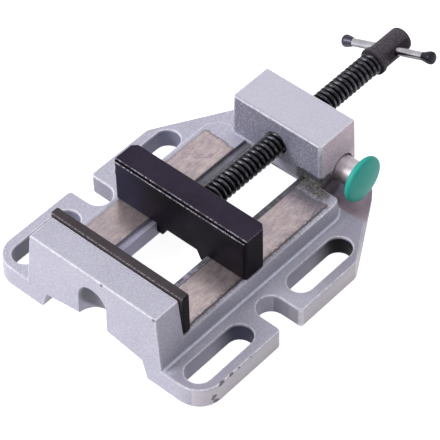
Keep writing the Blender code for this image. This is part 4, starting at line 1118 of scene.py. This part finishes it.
# %% Mould the cap in teal
teal = Finish("teal_plastic", Specular_IOR_Level=0.3)
bloom = teal.noise(9 * MM, detail=2)
teal.link(
    Base_Color=teal.mix(
        teal.ramp(bloom, 0.3, 0.7), linear(0.15, 0.67, 0.62), linear(0.2, 0.69, 0.645)),
    Roughness=0.42 + bloom * 0.12,
    Normal=teal.bump(teal.noise(0.8 * MM, detail=2), 0.01 * MM, 0.4))
smooth(cap, 40)
take_place(cap, "button_cap", teal)
print("cap faces:", len(cap.data.polygons))

# %% [markdown]
# ## Floor, background and light
# The photograph is a plain white catalogue picture. The floor is a pale sheet that keeps the
# vise's soft shadow, and it glows a little for the camera only, so it comes out white without
# more light on the vise. The world is white where the camera or a shiny surface sees it, and dimmer
# as a source of light, so colours come out about as they are written.

# %% Floor
SEEN_BY = ("Is Camera Ray", "Is Glossy Ray", "Is Transmission Ray")
bpy.ops.object.select_all(action="DESELECT")
bpy.ops.mesh.primitive_plane_add(size=6, location=(0, 0, -0.4 * MM))
floor = bpy.context.object
floor.name = "floor"
paper = Finish(
    "white_paper", Base_Color=(0.8, 0.8, 0.8, 1), Roughness=0.9, Specular_IOR_Level=0.1,
    Emission_Strength=1)
rays = [paper.node("ShaderNodeLightPath", output=ray) for ray in SEEN_BY]
glow = paper.mix(paper.either(*rays), (0, 0, 0, 1), (0.9, 0.9, 0.9, 1))
paper.link(Emission_Color=glow)
floor.data.materials.append(paper.material)
floor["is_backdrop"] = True
print("floor is", floor.dimensions.x, "m wide")

# %% World
WORLD_LIGHT = 0.34
world = bpy.data.worlds.new("studio")
bpy.context.scene.world = world
world.use_nodes = True
nodes, links = world.node_tree.nodes, world.node_tree.links
sky = nodes["Background"]
path = nodes.new("ShaderNodeLightPath")
seen = path.outputs[SEEN_BY[0]]
for ray in SEEN_BY[1:]:
    larger = nodes.new("ShaderNodeMath")
    larger.operation = "MAXIMUM"
    links.new(seen, larger.inputs[0])
    links.new(path.outputs[ray], larger.inputs[1])
    seen = larger.outputs[0]
level = nodes.new("ShaderNodeMapRange")
level.inputs["To Min"].default_value = WORLD_LIGHT
links.new(seen, level.inputs["Value"])
sky.inputs["Color"].default_value = (1, 1, 1, 1)
links.new(level.outputs[0], sky.inputs["Strength"])
print("world for light:", WORLD_LIGHT, "and for the camera: 1")

# %% Lamps
def softbox(name, place, size, power):
    """A square lamp that faces the vise."""
    lamp = bpy.data.objects.new(name, bpy.data.lights.new(name, "AREA"))
    bpy.context.scene.collection.objects.link(lamp)
    lamp.data.size = size
    lamp.data.energy = power
    lamp.location = place
    lamp.rotation_euler = (-Vector(place)).to_track_quat("-Z", "Y").to_euler()


softbox("key", (-0.8, -1.05, 0.95), 0.8, 21)
softbox("top", (-0.2, 0.5, 1.6), 1.0, 6)

# %% [markdown] ## Finish The view transform stays at Standard, so that a colour in the image is
# the colour that the scene has.

# %% Set the view transform and print the sizes
bpy.context.scene.view_settings.view_transform = "Standard"
dressed_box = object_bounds()
print("dressed size in mm:", in_mm(dressed_box[1] - dressed_box[0]))
